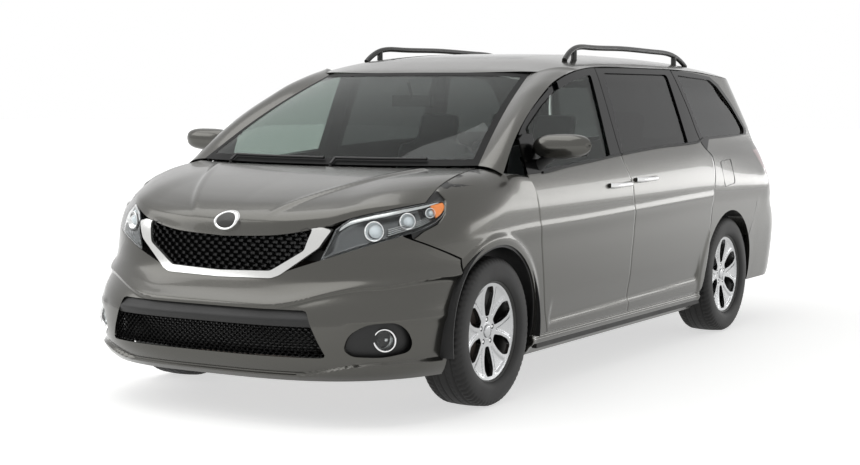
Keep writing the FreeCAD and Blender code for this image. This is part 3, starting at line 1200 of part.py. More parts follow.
def wiper(u_pivot, u_tip):
    """An arm and blade from a pivot post on the cowl over the glass's foot."""
    radius = size("wiper_radius")
    lift = V(0, -0.5, 1) * radius * 1.6
    near = glass_point(u_pivot, 0.04) + lift
    base = glass_point(u_pivot, 0) - V(0, radius * 2, 0)
    post = rod(V(base.x, base.y, COWL_TOP - radius), V(base.x, base.y, base.z + radius), radius).cut(cowl)
    steps = [glass_point(u_pivot + (u_tip - u_pivot) * k / 5, 0.04) + lift for k in range(6)]
    return post.fuse([rod(V(base.x, base.y, base.z + radius * 0.5), near, radius), tube(steps, radius)])


piece("wipers", wiper(0.53, 0.84), wiper(0.14, 0.49))


# Wheels: revolved about the axle, with X outwards on the left side.
def ring_body(name, outline, x, y, z, turn):
    """A body revolved about its own X axis from an outline of places along it and radii."""
    body = DOC.addObject("PartDesign::Body", name)
    body.Label = name
    sketch = body.newObject("Sketcher::SketchObject", name + "_outline")
    plane = [f for f in body.Origin.OriginFeatures if f.Role == "XY_Plane"][0]
    sketch.AttachmentSupport = [(plane, "")]
    sketch.MapMode = "FlatFace"
    corners = [(number(a), number(b)) for a, b in outline]
    for k, (a, b) in enumerate(corners):
        c, d = corners[(k + 1) % len(corners)]
        sketch.addGeometry(Part.LineSegment(V(a, b, 0), V(c, d, 0)), False)
    for k in range(len(corners)):
        sketch.addConstraint(Sketcher.Constraint("Coincident", k, 2, (k + 1) % len(corners), 1))
    for k, pair in enumerate(outline):
        for kind, formula, value in zip(("DistanceX", "DistanceY"), pair, corners[k]):
            index = sketch.addConstraint(Sketcher.Constraint(kind, -1, 1, k, 1, value))
            sketch.setExpression("Constraints[%d]" % index, formula)
    feature = body.newObject("PartDesign::Revolution", name + "_ring")
    feature.Profile = sketch
    feature.ReferenceAxis = (sketch, ["H_Axis"])
    feature.Angle = 360
    body.Placement = FreeCAD.Placement(V(x, y, z), FreeCAD.Rotation(V(0, 0, 1), turn))
    PIECES.append(body)
    return body


def polar(rows):
    return [(r * math.sin(math.radians(a)), r * math.cos(math.radians(a))) for r, a in rows]


def pocket_ring(body, name, outline, start, depth, count):
    """Pockets cut into a revolved body from a plane across its axis, patterned round the axis."""
    sketch = body.newObject("Sketcher::SketchObject", name + "_outline")
    plane = [f for f in body.Origin.OriginFeatures if f.Role == "YZ_Plane"][0]
    sketch.AttachmentSupport = [(plane, "")]
    sketch.MapMode = "FlatFace"
    sketch.setExpression("AttachmentOffset.Base.z", start)
    share = size("rim_radius")
    corners = [(a * share, b * share) for a, b in outline]
    for k, (a, b) in enumerate(corners):
        c, d = corners[(k + 1) % len(corners)]
        sketch.addGeometry(Part.LineSegment(V(a, b, 0), V(c, d, 0)), False)
    for k in range(len(corners)):
        sketch.addConstraint(Sketcher.Constraint("Coincident", k, 2, (k + 1) % len(corners), 1))
    for k, pair in enumerate(outline):
        for kind, part, value in zip(("DistanceX", "DistanceY"), pair, corners[k]):
            index = sketch.addConstraint(Sketcher.Constraint(kind, -1, 1, k, 1, value))
            sketch.setExpression("Constraints[%d]" % index, "Sizes.rim_radius * %.5f" % part)
    pocket = body.newObject("PartDesign::Pocket", name)
    pocket.Profile = sketch
    pocket.Type = 0
    pocket.setExpression("Length", depth)
    ring = body.newObject("PartDesign::PolarPattern", name + "_ring")
    ring.Originals = [pocket]
    ring.Axis = (sketch, ["N_Axis"])
    ring.Angle = 360
    ring.Occurrences = count
    body.Tip = ring


def number(formula):
    return float(SHEET.evalExpression(formula))


TYRE = [
    ("-Sizes.tyre_width / 2 * 0.78", "Sizes.rim_radius"),
    ("-Sizes.tyre_width / 2", "Sizes.rim_radius + Sizes.tyre_wall * 1.6"),
    ("-Sizes.tyre_width / 2", "Sizes.tyre_radius - Sizes.tread_round"),
    ("-Sizes.tyre_width / 2 + Sizes.tread_round * 0.5", "Sizes.tyre_radius - Sizes.tread_round * 0.12"),
    ("-Sizes.tyre_width / 4", "Sizes.tyre_radius"),
    ("Sizes.tyre_width / 4", "Sizes.tyre_radius"),
    ("Sizes.tyre_width / 2 - Sizes.tread_round * 0.5", "Sizes.tyre_radius - Sizes.tread_round * 0.12"),
    ("Sizes.tyre_width / 2", "Sizes.tyre_radius - Sizes.tread_round"),
    ("Sizes.tyre_width / 2", "Sizes.rim_radius + Sizes.tyre_wall * 1.6"),
    ("Sizes.tyre_width / 2 * 0.78", "Sizes.rim_radius"),
]
RIM = [
    ("-Sizes.rim_half_width", "Sizes.rim_radius - Sizes.rim_wall"),
    ("-Sizes.rim_half_width", "Sizes.rim_radius - Sizes.close_gap"),
    ("Sizes.rim_half_width", "Sizes.rim_radius - Sizes.close_gap"),
    ("Sizes.rim_half_width", "Sizes.rim_radius - Sizes.rim_wall"),
    ("Sizes.rim_half_width - Sizes.rim_disc", "Sizes.rim_radius - Sizes.rim_wall * 3"),
    ("Sizes.rim_half_width - Sizes.rim_disc * 1.5", "Sizes.hub_bore_radius * 1.5"),
    ("Sizes.rim_half_width - Sizes.rim_disc * 1.1", "Sizes.hub_bore_radius * 1.2"),
    ("Sizes.rim_half_width - Sizes.rim_disc", "0 mm"),
    ("Sizes.rim_half_width - Sizes.rim_disc * 1.5", "0 mm"),
    ("Sizes.rim_half_width - Sizes.rim_disc * 1.5", "Sizes.hub_bore_radius"),
    ("Sizes.rim_half_width - Sizes.rim_disc * 2.7", "Sizes.hub_bore_radius"),
    ("Sizes.rim_half_width - Sizes.rim_disc * 2.7", "Sizes.hub_bore_radius * 1.6"),
    ("Sizes.rim_half_width - Sizes.rim_disc * 2", "Sizes.rim_radius - Sizes.rim_wall * 3"),
]
# The openings between six spokes that flare towards the rim, and the crease pressed into each
# spoke, as shares of the rim's radius; the first spoke points straight up.
WINDOW_SHARES = polar([(0.32, 16), (0.56, 14), (0.78, 17), (0.90, 24), (0.90, 36), (0.78, 43), (0.56, 46), (0.32, 44)])
CREASE_SHARES = polar([(0.38, -3), (0.86, -11), (0.86, 11), (0.38, 3)])
LUG_SHARES = polar([(0.19, -7), (0.25, -7), (0.25, 7), (0.19, 7)])
CORNERS = {
    "front_left": (1, FRONT_AXLE), "front_right": (-1, FRONT_AXLE),
    "rear_left": (1, REAR_AXLE), "rear_right": (-1, REAR_AXLE),
}
for corner_name, (sign, axle) in CORNERS.items():
    x = sign * size("track") / 2
    turn = 0 if sign > 0 else 180
    ring_body("tyre_" + corner_name, TYRE, x, axle, HUB, turn)
    rim = ring_body("rim_" + corner_name, RIM, x, axle, HUB, turn)
    face = "Sizes.rim_half_width + Sizes.rim_wall"
    pocket_ring(rim, "openings_" + corner_name, WINDOW_SHARES, face, "Sizes.rim_half_width * 1.5", 6)
    pocket_ring(rim, "creases_" + corner_name, CREASE_SHARES, face, "Sizes.rim_wall + Sizes.rim_disc * 1.3", 6)
    pocket_ring(rim, "lugs_" + corner_name, LUG_SHARES, face, "Sizes.rim_wall + Sizes.rim_disc * 1.7", 5)

spindle_end = size("track") / 2 + size("rim_half_width") - size("rim_disc") * 1.7
centre = KING_LOW + KING * ((HUB - KING_LOW.z) / KING.z)
upright = rod(KING_LOW, strut_foot - KING * CLOSE, strut_r * 1.6)
knuckle = upright.fuse([
    box(centre.x, centre.x + size("knuckle_width"), FRONT_AXLE - size("knuckle_length") / 2,
        FRONT_AXLE + size("knuckle_length") / 2, HUB - size("knuckle_height") / 2, HUB + size("knuckle_height") / 2),
    rod(centre, V(spindle_end, FRONT_AXLE, HUB), size("hub_bore_radius") - CLOSE),
    across_disc(centre.x + size("knuckle_width"), centre.x + size("knuckle_width") + size("disc_wall"), FRONT_AXLE,
                HUB, size("disc_radius"))])
piece("knuckle_front_left", knuckle)
piece("knuckle_front_right", mirrored(knuckle))

# Steering wheel on its column.
ring = Part.makeTorus(size("wheel_ring_radius"), size("wheel_ring_wall"), ring_at, column_axis)
spokes = [rod(ring_at, ring_at + V(math.cos(a), 0, 0) * size("wheel_ring_radius")
              + V(0, column_axis.z, -column_axis.y) * (-math.sin(a)) * size("wheel_ring_radius"),
              size("wheel_ring_wall") * 0.8) for a in (0, math.pi, -math.pi / 2)]
hub = rod(hub_foot, ring_at + column_axis * size("wheel_ring_wall"),
          size("wheel_ring_radius") * 0.3)
piece("steering_wheel", ring.fuse(spokes + [hub]))

# Door mirrors: a cap on a foot that stands on the sail panel.
MIRROR_AT = V(HALF_WIDTH * 0.942, place_y(MIRROR_STATION_SHARE), BELT * 1.075)
rings = []
for run, swell in MIRROR_FORM_SHARES:
    ring = Part.BSplineCurve()
    half_y, half_z = size("mirror_depth") / 2 * swell, size("mirror_height") / 2 * swell
    turns = [2 * math.pi * k / 12 for k in range(12)]
    ring.interpolate([MIRROR_AT + V(size("mirror_length") * run, half_y * math.cos(a), half_z * math.sin(a))
                      for a in turns], True)
    rings.append(Part.Wire([ring.toShape()]))
cap = Part.makeLoft(rings, True)
arm = box(HALF_WIDTH * 0.9, HALF_WIDTH * 1.03, place_y(1.150), place_y(1.165), BELT * 0.985, BELT * 1.03)
arm = arm.fuse(box(HALF_WIDTH * 0.98, HALF_WIDTH * 1.08, place_y(1.150), place_y(1.172), BELT * 1.012, BELT * 1.05))
MIRROR = cap.fuse(arm.cut(door_slab))
MIRROR = max(MIRROR.Solids, key=lambda solid: solid.Volume)
piece("mirror_left", MIRROR)
piece("mirror_right", mirrored(MIRROR))


DOC.recompute()
for feature in PIECES:
    shape = feature.Shape
    if "Invalid" in feature.State or "Error" in feature.State:
        raise RuntimeError(feature.Label + " did not recompute")
    if shape.isNull() or not shape.isValid() or not shape.Solids:
        raise RuntimeError(feature.Label + " has no valid solid")
os.makedirs("parts", exist_ok=True)
for feature in PIECES:
    feature.Shape.exportStep("parts/%s.step" % feature.Label)
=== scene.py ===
"""The looks of the minivan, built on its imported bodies.

Lengths are in metres. X runs to the vehicle's left, Y to its tail and Z up, with the origin
on the ground under the middle of the body.
"""

import json
import math

import bmesh
import bpy
import numpy as np
from mathutils import Matrix, Vector
from mathutils.bvhtree import BVHTree

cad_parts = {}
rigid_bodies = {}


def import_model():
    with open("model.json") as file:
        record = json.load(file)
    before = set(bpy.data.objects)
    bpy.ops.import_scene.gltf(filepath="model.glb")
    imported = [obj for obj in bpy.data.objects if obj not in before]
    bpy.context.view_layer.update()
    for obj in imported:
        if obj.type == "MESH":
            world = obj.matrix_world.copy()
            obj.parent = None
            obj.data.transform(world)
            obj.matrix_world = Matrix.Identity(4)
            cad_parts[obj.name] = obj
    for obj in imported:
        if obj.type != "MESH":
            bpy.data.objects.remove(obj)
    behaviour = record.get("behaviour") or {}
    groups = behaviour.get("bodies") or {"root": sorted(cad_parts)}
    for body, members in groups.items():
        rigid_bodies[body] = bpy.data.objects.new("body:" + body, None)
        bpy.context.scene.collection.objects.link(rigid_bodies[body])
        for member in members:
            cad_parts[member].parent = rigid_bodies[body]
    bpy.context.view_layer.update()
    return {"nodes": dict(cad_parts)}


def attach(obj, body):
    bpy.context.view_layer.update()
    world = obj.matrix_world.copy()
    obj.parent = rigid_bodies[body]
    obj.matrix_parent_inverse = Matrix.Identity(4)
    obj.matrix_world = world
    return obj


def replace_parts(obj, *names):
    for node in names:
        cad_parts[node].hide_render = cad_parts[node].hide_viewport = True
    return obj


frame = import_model()
NODES = frame["nodes"]
MM = 0.001

# The main sizes, as the bodies have them.
BELT = 1.130
FRONT_AXLE, REAR_AXLE = -1.5725, 1.4575
HUB = 0.356
TRACK = 1.720
SEAM = 0.008
MIDDLE = (0.0, 0.0, 0.7)  # a place inside, which the skins' faces look away from
FRONT_CORNER, REAR_CORNER = 0.850, 0.380
NOSE_POWERS = (2.4, 3.2)  # bend and tightness of the corners at the nose, as corner() has them
TAIL_POWERS = (2.2, 5.0)
ARCH_RADIUS = 0.412
SIDE_NEAR, SIDE_FAR = 0.3, 1.2  # where the prisms that cut the sides start and end, from the middle
SIDES = ((1, "left"), (-1, "right"))
DOOR_LOW, DOOR_TOP = 0.285, 1.610


# Curves and the body's skin.
def curve(rows, soft=0.0):
    """A smooth curve through rows of place and value in millimetres, answered in metres.

    Between rows it is a cubic whose end slopes are the weighted harmonic mean of the runs' slopes,
    so it never overshoots. With soft it is the running mean, weighted by a bell curve of that width.
    """
    xs, ys = np.asarray(rows, float).T * MM
    step = np.diff(xs)
    slope = np.diff(ys) / step
    tangent = np.concatenate([[slope[0]], np.zeros(len(xs) - 2), [slope[-1]]])
    same = slope[:-1] * slope[1:] > 0
    before, after = 2 * step[1:] + step[:-1], step[1:] + 2 * step[:-1]
    weighted = before[same] / slope[:-1][same] + after[same] / slope[1:][same]
    tangent[1:-1][same] = (before + after)[same] / weighted

    def exact(at):
        at = np.clip(at, xs[0], xs[-1])
        k = np.clip(np.searchsorted(xs, at, side="right") - 1, 0, len(xs) - 2)
        t = (at - xs[k]) / step[k]
        return ((2 * t**3 - 3 * t**2 + 1) * ys[k] + (t**3 - 2 * t**2 + t) * step[k] * tangent[k]
                + (3 * t**2 - 2 * t**3) * ys[k + 1] + (t**3 - t**2) * step[k] * tangent[k + 1])

    if not soft:
        return exact
    fine = np.linspace(xs[0] - 4 * soft, xs[-1] + 4 * soft, 1601)
    reach = np.clip(fine, xs[0], xs[-1])
    values = exact(reach) + (fine - reach) * np.where(fine < xs[0], tangent[0], tangent[-1])
    gap = fine[1] - fine[0]
    taps = np.arange(-int(3 * soft / gap), int(3 * soft / gap) + 1) * gap
    bell = np.exp(-0.5 * (taps / soft) ** 2)
    smooth = np.convolve(values, bell / bell.sum(), mode="same")
    return lambda at: np.interp(at, fine, smooth)


def smooth_step(x):
    """Nought below nought, one above one, and 3x^2 - 2x^3 between."""
    x = np.clip(x, 0, 1)
    return x * x * (3 - 2 * x)


section = curve([(190, 905), (230, 930), (280, 948), (330, 957), (400, 965), (500, 976), (600, 984), (700, 989),
                 (830, 992), (900, 990), (1000, 977), (1080, 961), (1130, 949), (1250, 912), (1400, 865), (1500, 832),
                 (1560, 811), (1613, 788), (1705, 740)], 0.016)
nose = curve([(190, -2440), (240, -2500), (300, -2530), (400, -2542), (450, -2541), (500, -2530), (536, -2512),
              (600, -2460), (652, -2425), (731, -2400), (819, -2385), (894, -2354), (960, -2290), (1100, -2150),
              (1705, -2150)], 0.008)
tail = curve([(190, 2440), (260, 2500), (350, 2535), (500, 2542), (620, 2538), (700, 2510), (760, 2475), (840, 2462),
              (950, 2458), (1080, 2448), (1180, 2420), (1300, 2350), (1441, 2262), (1604, 2170), (1705, 2110)], 0.008)
cabin = curve([(-2540, 1000), (900, 1000), (1400, 988), (2000, 955), (2300, 920), (2540, 880)], 0.06)
door_front = curve([(285, -988), (405, -1048), (543, -1088), (688, -1124), (795, -1145), (884, -1158), (971, -1170),
                    (1016, -1191), (1073, -1226), (1130, -1236), (1262, -1232)], 0.006)
door_rear = curve([(285, -9), (442, -33), (581, -36), (717, -22), (815, -18), (893, -23), (971, -24), (1050, -56),
                   (1133, -105), (1379, -117), (1613, -120)], 0.006)
slide_rear = curve([(285, 1037), (304, 1066), (444, 1093), (638, 1114), (746, 1126), (842, 1147), (937, 1193),
                    (1022, 1221), (1087, 1224), (1132, 1153), (1177, 1091), (1391, 1020), (1613, 934)], 0.006)
belt_line = curve([(-1250, 1082), (-1062, 1083), (-777, 1103), (-474, 1120), (-135, 1141), (459, 1168), (1053, 1184),
                   (1130, 1203), (1697, 1209), (2000, 1214)], 0.02)


def corner(share, bend, tightness):
    """How far back from the nose or tail the skin has a share of its full width: d = 1 - (1 - s^t)^(1/b)."""
    return 1 - (1 - np.clip(share, 0, 1) ** tightness) ** (1 / bend)


def corner_share(depth, bend, tightness):
    """The share of the full width at a share of the corner's depth: s = (1 - (1 - d)^b)^(1/t)."""
    return (1 - (1 - np.clip(depth, 0, 1)) ** bend) ** (1 / tightness)


shoulder = curve([(-2400, 780), (-1900, 792), (-1250, 822), (-700, 826), (0, 838), (1000, 856), (1700, 862),
                  (2300, 866)], 0.1)
band_top = curve([(-1100, 440), (-980, 466), (0, 506), (978, 537), (1100, 541)], 0.05)
band_low = curve([(-1100, 340), (-980, 344), (0, 361), (978, 380), (1100, 384)], 0.05)


def relief(y, z):
    """What the pressed lines add to the flank: a shoulder ridge, a scooped band over the sill, and the arches' lips."""
    line = shoulder(y)
    reach = smooth_step((y + 2.0) / 0.5) * smooth_step((2.25 - y) / 0.3)
    ridge = 0.0045 * np.where(z < line, np.exp(-((z - line) / 0.05) ** 2), np.exp(-((z - line) / 0.022) ** 2))
    high, low = band_top(y), band_low(y)
    inside = smooth_step((y + 0.99) / 0.03) * smooth_step((0.985 - y) / 0.012)
    into = np.clip((high - z) / (high - low), 0, 1)
    out = smooth_step((z - low + 0.038) / 0.050)
    scoop = -0.013 * inside * into**1.5 * out
    lips = 0.0
    for axle in (FRONT_AXLE, REAR_AXLE):
        far = np.hypot(y - axle, z - HUB)
        lips = lips + 0.007 * smooth_step((0.470 - far) / 0.035) * (z > 0.2)
    return ridge * reach + scoop + lips * smooth_step((0.9 - z) / 0.1)


def flank(y, z):
    """Half width of the skin: the section's width, narrowed by rounded corners at both ends and by the cabin."""
    y, z = np.broadcast_arrays(np.asarray(y, float), np.asarray(z, float))
    blend = smooth_step((z / BELT - 0.8) / 0.25)
    body = section(z) * (1 - (1 - cabin(y)) * blend)
    ahead, behind = (y - nose(z)) / FRONT_CORNER, (tail(z) - y) / REAR_CORNER
    return body * corner_share(ahead, *NOSE_POWERS) * corner_share(behind, *TAIL_POWERS) + relief(y, z) * (ahead > 0.3)


def nose_at(x, z):
    """The nose's place along the vehicle at a width and height, from the corner's formula turned round."""
    return nose(z) + FRONT_CORNER * corner(np.abs(x) / section(z), *NOSE_POWERS)


def tail_at(x, z):
    """The tail's place along the vehicle at a width and height, with the cabin's width settled in six rounds."""
    blend = smooth_step((z / BELT - 0.8) / 0.25)
    y = tail(z)
    for _ in range(6):
        width = section(z) * (1 - (1 - cabin(y)) * blend)
        y = tail(z) - REAR_CORNER * corner(np.abs(x) / width, *TAIL_POWERS)
    return y


# Making pieces.
def grid_faces(rows, columns, round_rows=False, round_columns=False):
    """The corner numbers of each square of a grid, as one array."""
    i, j = np.meshgrid(np.arange(rows - (not round_rows)), np.arange(columns - (not round_columns)), indexing="ij")
    i2, j2 = (i + 1) % rows, (j + 1) % columns
    return np.stack([i * columns + j, i2 * columns + j, i2 * columns + j2, i * columns + j2], -1).reshape(-1, 4)


def rows_of(items, what):
    """A measure of three numbers for every vertex or face of a mesh, as an array."""
    found = np.empty(len(items) * 3)
    items.foreach_get(what, found)
    return found.reshape(-1, 3)


def move_to(mesh, places):
    """Puts every vertex of a mesh at its new place."""
    mesh.vertices.foreach_set("co", places.ravel())
    mesh.update()


def linked(name, mesh):
    """A new object on a mesh, in the scene."""
    made = bpy.data.objects.new(name, mesh)
    bpy.context.scene.collection.objects.link(made)
    return made


def dress(mesh, *looks):
    """Gives a mesh these finishes and no other."""
    mesh.materials.clear()
    for look in looks:
        mesh.materials.append(look)


def face_out(mesh):
    """Turns the faces of a closed mesh outwards."""
    form = bmesh.new()
    form.from_mesh(mesh)
    bmesh.ops.recalc_face_normals(form, faces=form.faces)
    form.to_mesh(mesh)
    form.free()


def merge(mesh):
    """Joins the loose triangles of a copied CAD mesh at their shared places."""
    form = bmesh.new()
    form.from_mesh(mesh)
    bmesh.ops.remove_doubles(form, verts=form.verts, dist=0.0001)
    form.to_mesh(mesh)
    form.free()


def as_piece(name, mesh, looks, body="body_shell", replaced=None):
    """A named piece on a mesh, in its finishes, riding on a body and standing in for a node."""
    dress(mesh, *looks)
    piece = linked(name, mesh)
    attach(piece, body)
    if replaced:
        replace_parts(piece, replaced)
    return piece


def new_piece(name, places, faces, finish, body="body_shell", smooth=True):
    """A named piece from places and faces, in its finish, riding on a body."""
    mesh = bpy.data.meshes.new(name)
    mesh.from_pydata(np.asarray(places, float).reshape(-1, 3).tolist(), [], np.asarray(faces).tolist())
    mesh.update()
    if smooth:
        mesh.shade_smooth()
    return as_piece(name, mesh, [finish], body)


def sheet_of(name, grid, finish, body="body_shell", around_rows=False, around_columns=False, flip=False):
    """A piece from a grid of places, rows by columns by three; around_rows and around_columns close it."""
    grid = np.asarray(grid, float)
    faces = grid_faces(grid.shape[0], grid.shape[1], around_rows, around_columns)
    return new_piece(name, grid, faces[:, ::-1] if flip else faces, finish, body)


def wall(piece, depth):
    """Gives a sheet its thickness, inwards from its skin: first its faces are turned to look away from the middle."""
    looks, spots = rows_of(piece.data.polygons, "normal"), rows_of(piece.data.polygons, "center")
    if np.sum(looks * (spots - MIDDLE)) < 0:
        piece.data.flip_normals()
    solid = piece.modifiers.new("wall", "SOLIDIFY")
    solid.thickness = depth
    solid.offset = -1
    solid.use_even_offset = True
    return piece


def settled(piece, sharp=32):
    """The piece with its modifiers applied, and its edges sharp past an angle."""
    shape = bpy.data.meshes.new_from_object(piece.evaluated_get(bpy.context.evaluated_depsgraph_get()))
    piece.modifiers.clear()
    piece.data = shape
    shape.shade_smooth()
    shape.set_sharp_from_angle(angle=math.radians(sharp))
    return piece


def cutter(places, faces):
    """A hidden shape that trims a piece, not linked to any body."""
    mesh = bpy.data.meshes.new("cutter")
    mesh.from_pydata(np.asarray(places, float).reshape(-1, 3).tolist(), [], faces)
    return linked("cutter", mesh)


def prism(outline, axis, near, far):
    """A straight prism along an axis on an outline of the other two coordinates."""
    outline = np.asarray(outline, float)
    count = len(outline)
    places = np.zeros((2, count, 3))
    others = [k for k in range(3) if k != axis]
    places[:, :, others] = outline
    places[0, :, axis], places[1, :, axis] = near, far
    faces = [list(range(count)), list(range(2 * count - 1, count - 1, -1))]
    faces += [[k, (k + 1) % count, count + (k + 1) % count, count + k][::-1] for k in range(count)]
    tool = cutter(places, faces)
    face_out(tool.data)
    return tool


def side_prism(outline, sign):
    """A prism through one side of the vehicle on an outline in side view."""
    return prism(outline, 0, SIDE_NEAR * sign, SIDE_FAR * sign)


def trimmed(piece, keep=None, holes=(), sharp=32, solver="EXACT"):
    """The piece inside one prism and outside others. The bumper's wall touches itself, so it has the FAST solver."""
    tools = [("INTERSECT", keep)] if keep else []
    tools += [("DIFFERENCE", hole) for hole in holes]
    for how, tool in tools:
        step = piece.modifiers.new("trim", "BOOLEAN")
        step.operation, step.object, step.solver = how, tool, solver
    return settled(piece, sharp)


def drop_cutters():
    """Takes the trimming shapes out of the scene."""
    for tool in [o for o in bpy.data.objects if o.name.startswith("cutter")]:
        bpy.data.objects.remove(tool)


def tube(name, path, radius, finish, body="body_shell", around=16):
    """A round bar: a circle carried along a path, square to it all the way, with flat ends."""
    path = np.asarray(path, float)
    ahead = np.gradient(path, axis=0)
    ahead /= np.linalg.norm(ahead, axis=1, keepdims=True)
    up = np.array([0.0, 0.0, 1.0]) if abs(ahead[:, 2]).max() < 0.95 else np.array([0.0, 1.0, 0.0])
    side = np.cross(ahead, up)
    side /= np.linalg.norm(side, axis=1, keepdims=True)
    over = np.cross(side, ahead)
    turn = np.linspace(0, 2 * np.pi, around, endpoint=False)
    radius = np.broadcast_to(np.asarray(radius, float), (len(path),))[:, None, None]
    across, up = np.cos(turn)[None, :, None] * side[:, None], np.sin(turn)[None, :, None] * over[:, None]
    places = (path[:, None] + radius * (across + up)).reshape(-1, 3)
    faces = [square[::-1] for square in grid_faces(len(path), around, False, True).tolist()]
    faces += [list(range(around))[::-1], list(range(len(places) - around, len(places)))]
    mesh = bpy.data.meshes.new(name)
    mesh.from_pydata(places.tolist(), [], faces)
    face_out(mesh)
    mesh.shade_smooth()
    mesh.set_sharp_from_angle(angle=math.radians(40))
    return as_piece(name, mesh, [finish], body)


# Finishes.
def shade(code):
    """An sRGB hex colour as linear red, green, blue and one."""
    part = np.array([int(code[k:k + 2], 16) for k in (1, 3, 5)]) / 255
    return tuple(np.where(part <= 0.04045, part / 12.92, ((part + 0.055) / 1.055) ** 2.4)) + (1.0,)


def add(tree, kind, settings=None, links=None):
    """Adds one node with its settings and the links into it."""
    made = tree.nodes.new(kind)
    for name, value in (settings or {}).items():
        if name in made.inputs:
            made.inputs[name].default_value = value
        else:
            setattr(made, name, value)
    for name, source in (links or {}).items():
        tree.links.new(source, made.inputs[name])
    return made


def finish(name, colour, rough, metallic=0.0, ior=1.5, extra=None, grain=None, depth=0.0, tint=None, wear=0.0):
    """A shader for one real finish.

    grain is the size in metres of its surface pattern, depth how strongly that pattern stands out,
    tint a second colour that slow clouds mix in, and wear how much the roughness varies.
    """
    look = bpy.data.materials.new(name)
    look.use_nodes = True
    tree = look.node_tree
    base = tree.nodes["Principled BSDF"]
    base.inputs["Base Color"].default_value = shade(colour)
    base.inputs["Roughness"].default_value = rough
    base.inputs["Metallic"].default_value = metallic
    if not metallic:
        base.inputs["IOR"].default_value = ior
    for socket, value in (extra or {}).items():
        base.inputs[socket].default_value = value
    spot = add(tree, "ShaderNodeTexCoord")
    if tint:
        clouds = add(tree, "ShaderNodeTexNoise", {"Scale": 6.0, "Detail": 3.0}, {"Vector": spot.outputs["Object"]})
        mix = add(tree, "ShaderNodeMix", {"data_type": "RGBA", "blend_type": "MIX"}, {0: clouds.outputs["Fac"]})
        mix.inputs[6].default_value, mix.inputs[7].default_value = shade(colour), shade(tint)
        tree.links.new(mix.outputs[2], base.inputs["Base Color"])
    if wear:
        patch = add(tree, "ShaderNodeTexNoise", {"Scale": 8.0, "Detail": 4.0}, {"Vector": spot.outputs["Object"]})
        spread = add(tree, "ShaderNodeMapRange", {"To Min": max(0.0, rough - wear), "To Max": rough + wear},
                     {"Value": patch.outputs["Fac"]})
        tree.links.new(spread.outputs["Result"], base.inputs["Roughness"])
    if grain:
        pattern = add(tree, "ShaderNodeTexNoise", {"Scale": 1 / grain, "Detail": 2.0},
                      {"Vector": spot.outputs["Object"]})
        bump = add(tree, "ShaderNodeBump", {"Strength": depth, "Distance": grain * 0.5},
                   {"Height": pattern.outputs["Fac"]})
        tree.links.new(bump.outputs["Normal"], base.inputs["Normal"])
    return look


# Basecoat with aluminium flakes under clear lacquer: dark warm grey, its flakes drawn 1.5 mm wide so that they show.
paint = finish("metallic_basecoat", "#53524e", 0.22, 0.8, extra={"Coat Weight": 0.35, "Coat Roughness": 0.02},
               grain=0.0015, depth=0.05, wear=0.02)
gloss_black = finish("gloss_black_film", "#070708", 0.14, ior=1.25, extra={"Coat Weight": 0.08}, wear=0.03)
satin_black = finish("moulded_black_pp", "#161616", 0.48, grain=0.0012, depth=0.25, wear=0.06)
mesh_black = finish("gloss_black_abs", "#0a0a0a", 0.2, grain=0.002, depth=0.08, wear=0.05)
frit = finish("black_ceramic_frit", "#060606", 0.45, ior=1.2, wear=0.05)
seal_rubber = finish("epdm_seal", "#0d0d0d", 0.6, grain=0.001, depth=0.2, wear=0.05)
silver_trim = finish("satin_silver_paint", "#d4d4d2", 0.22, 0.85, extra={"Coat Weight": 0.6}, wear=0.03)
chrome = finish("bright_chrome", "#e2e2e2", 0.07, 1.0, wear=0.02)
rubber = finish("tyre_rubber", "#171717", 0.62, grain=0.0015, depth=0.3, tint="#1f1e1d", wear=0.08)
machined = finish("machined_alloy", "#b3b4b5", 0.24, 1.0, extra={"Coat Weight": 0.2}, grain=0.0012, depth=0.06,
                  wear=0.04)
pocket_grey = finish("dark_wheel_paint", "#3b3b3a", 0.35, 0.6, wear=0.05)
lamp_chrome = finish("lamp_reflector", "#b9bbbb", 0.16, 1.0, wear=0.03)
lamp_black = finish("lamp_housing", "#5d5f60", 0.22, 0.7, wear=0.04)
amber = finish("amber_lens", "#e07a1c", 0.15, extra={"Coat Weight": 0.5}, wear=0.02)
red_lens = finish("red_acrylic", "#8d1014", 0.1, ior=1.49, extra={"Coat Weight": 1.0}, wear=0.02)
clear_red = finish("pale_tail_lens", "#cfc3c1", 0.12, ior=1.49, extra={"Coat Weight": 1.0}, wear=0.02)
clear_glass = finish("tinted_laminate", "#a9b3ae", 0.0, ior=1.18, extra={"Transmission Weight": 1.0})
thin_lens = finish("thin_polycarbonate", "#fafcfc", 0.0, ior=1.04,
                   extra={"Transmission Weight": 1.0, "Coat Weight": 0.5}, wear=0.004)
projector_glass = finish("projector_glass", "#c9d2d6", 0.03, ior=1.5, extra={"Coat Weight": 1.0}, wear=0.01)
mirror_silver = finish("silvered_glass", "#c8cccf", 0.02, 1.0, wear=0.01)
dark_glass = finish("privacy_glass", "#464848", 0.0, ior=1.28, extra={"Transmission Weight": 1.0})
rail_grey = finish("rail_powder_coat", "#3a3a39", 0.4, 0.3, grain=0.0008, depth=0.12, wear=0.05)
cloth = finish("woven_seat_cloth", "#232427", 0.85, extra={"Sheen Weight": 0.4}, grain=0.002, depth=0.5, tint="#1c1d20")
cabin_vinyl = finish("cabin_vinyl", "#1d1e20", 0.6, grain=0.0025, depth=0.3, wear=0.06)
steel = finish("black_chassis_paint", "#1c1c1c", 0.55, 0.2, grain=0.002, depth=0.3, tint="#242220", wear=0.1)
cast = finish("cast_iron", "#4b4846", 0.55, 1.0, grain=0.0015, depth=0.4, tint="#5c5049", wear=0.1)
exhaust_steel = finish("exhaust_steel", "#8d8a85", 0.3, 1.0, tint="#76706a", wear=0.1)

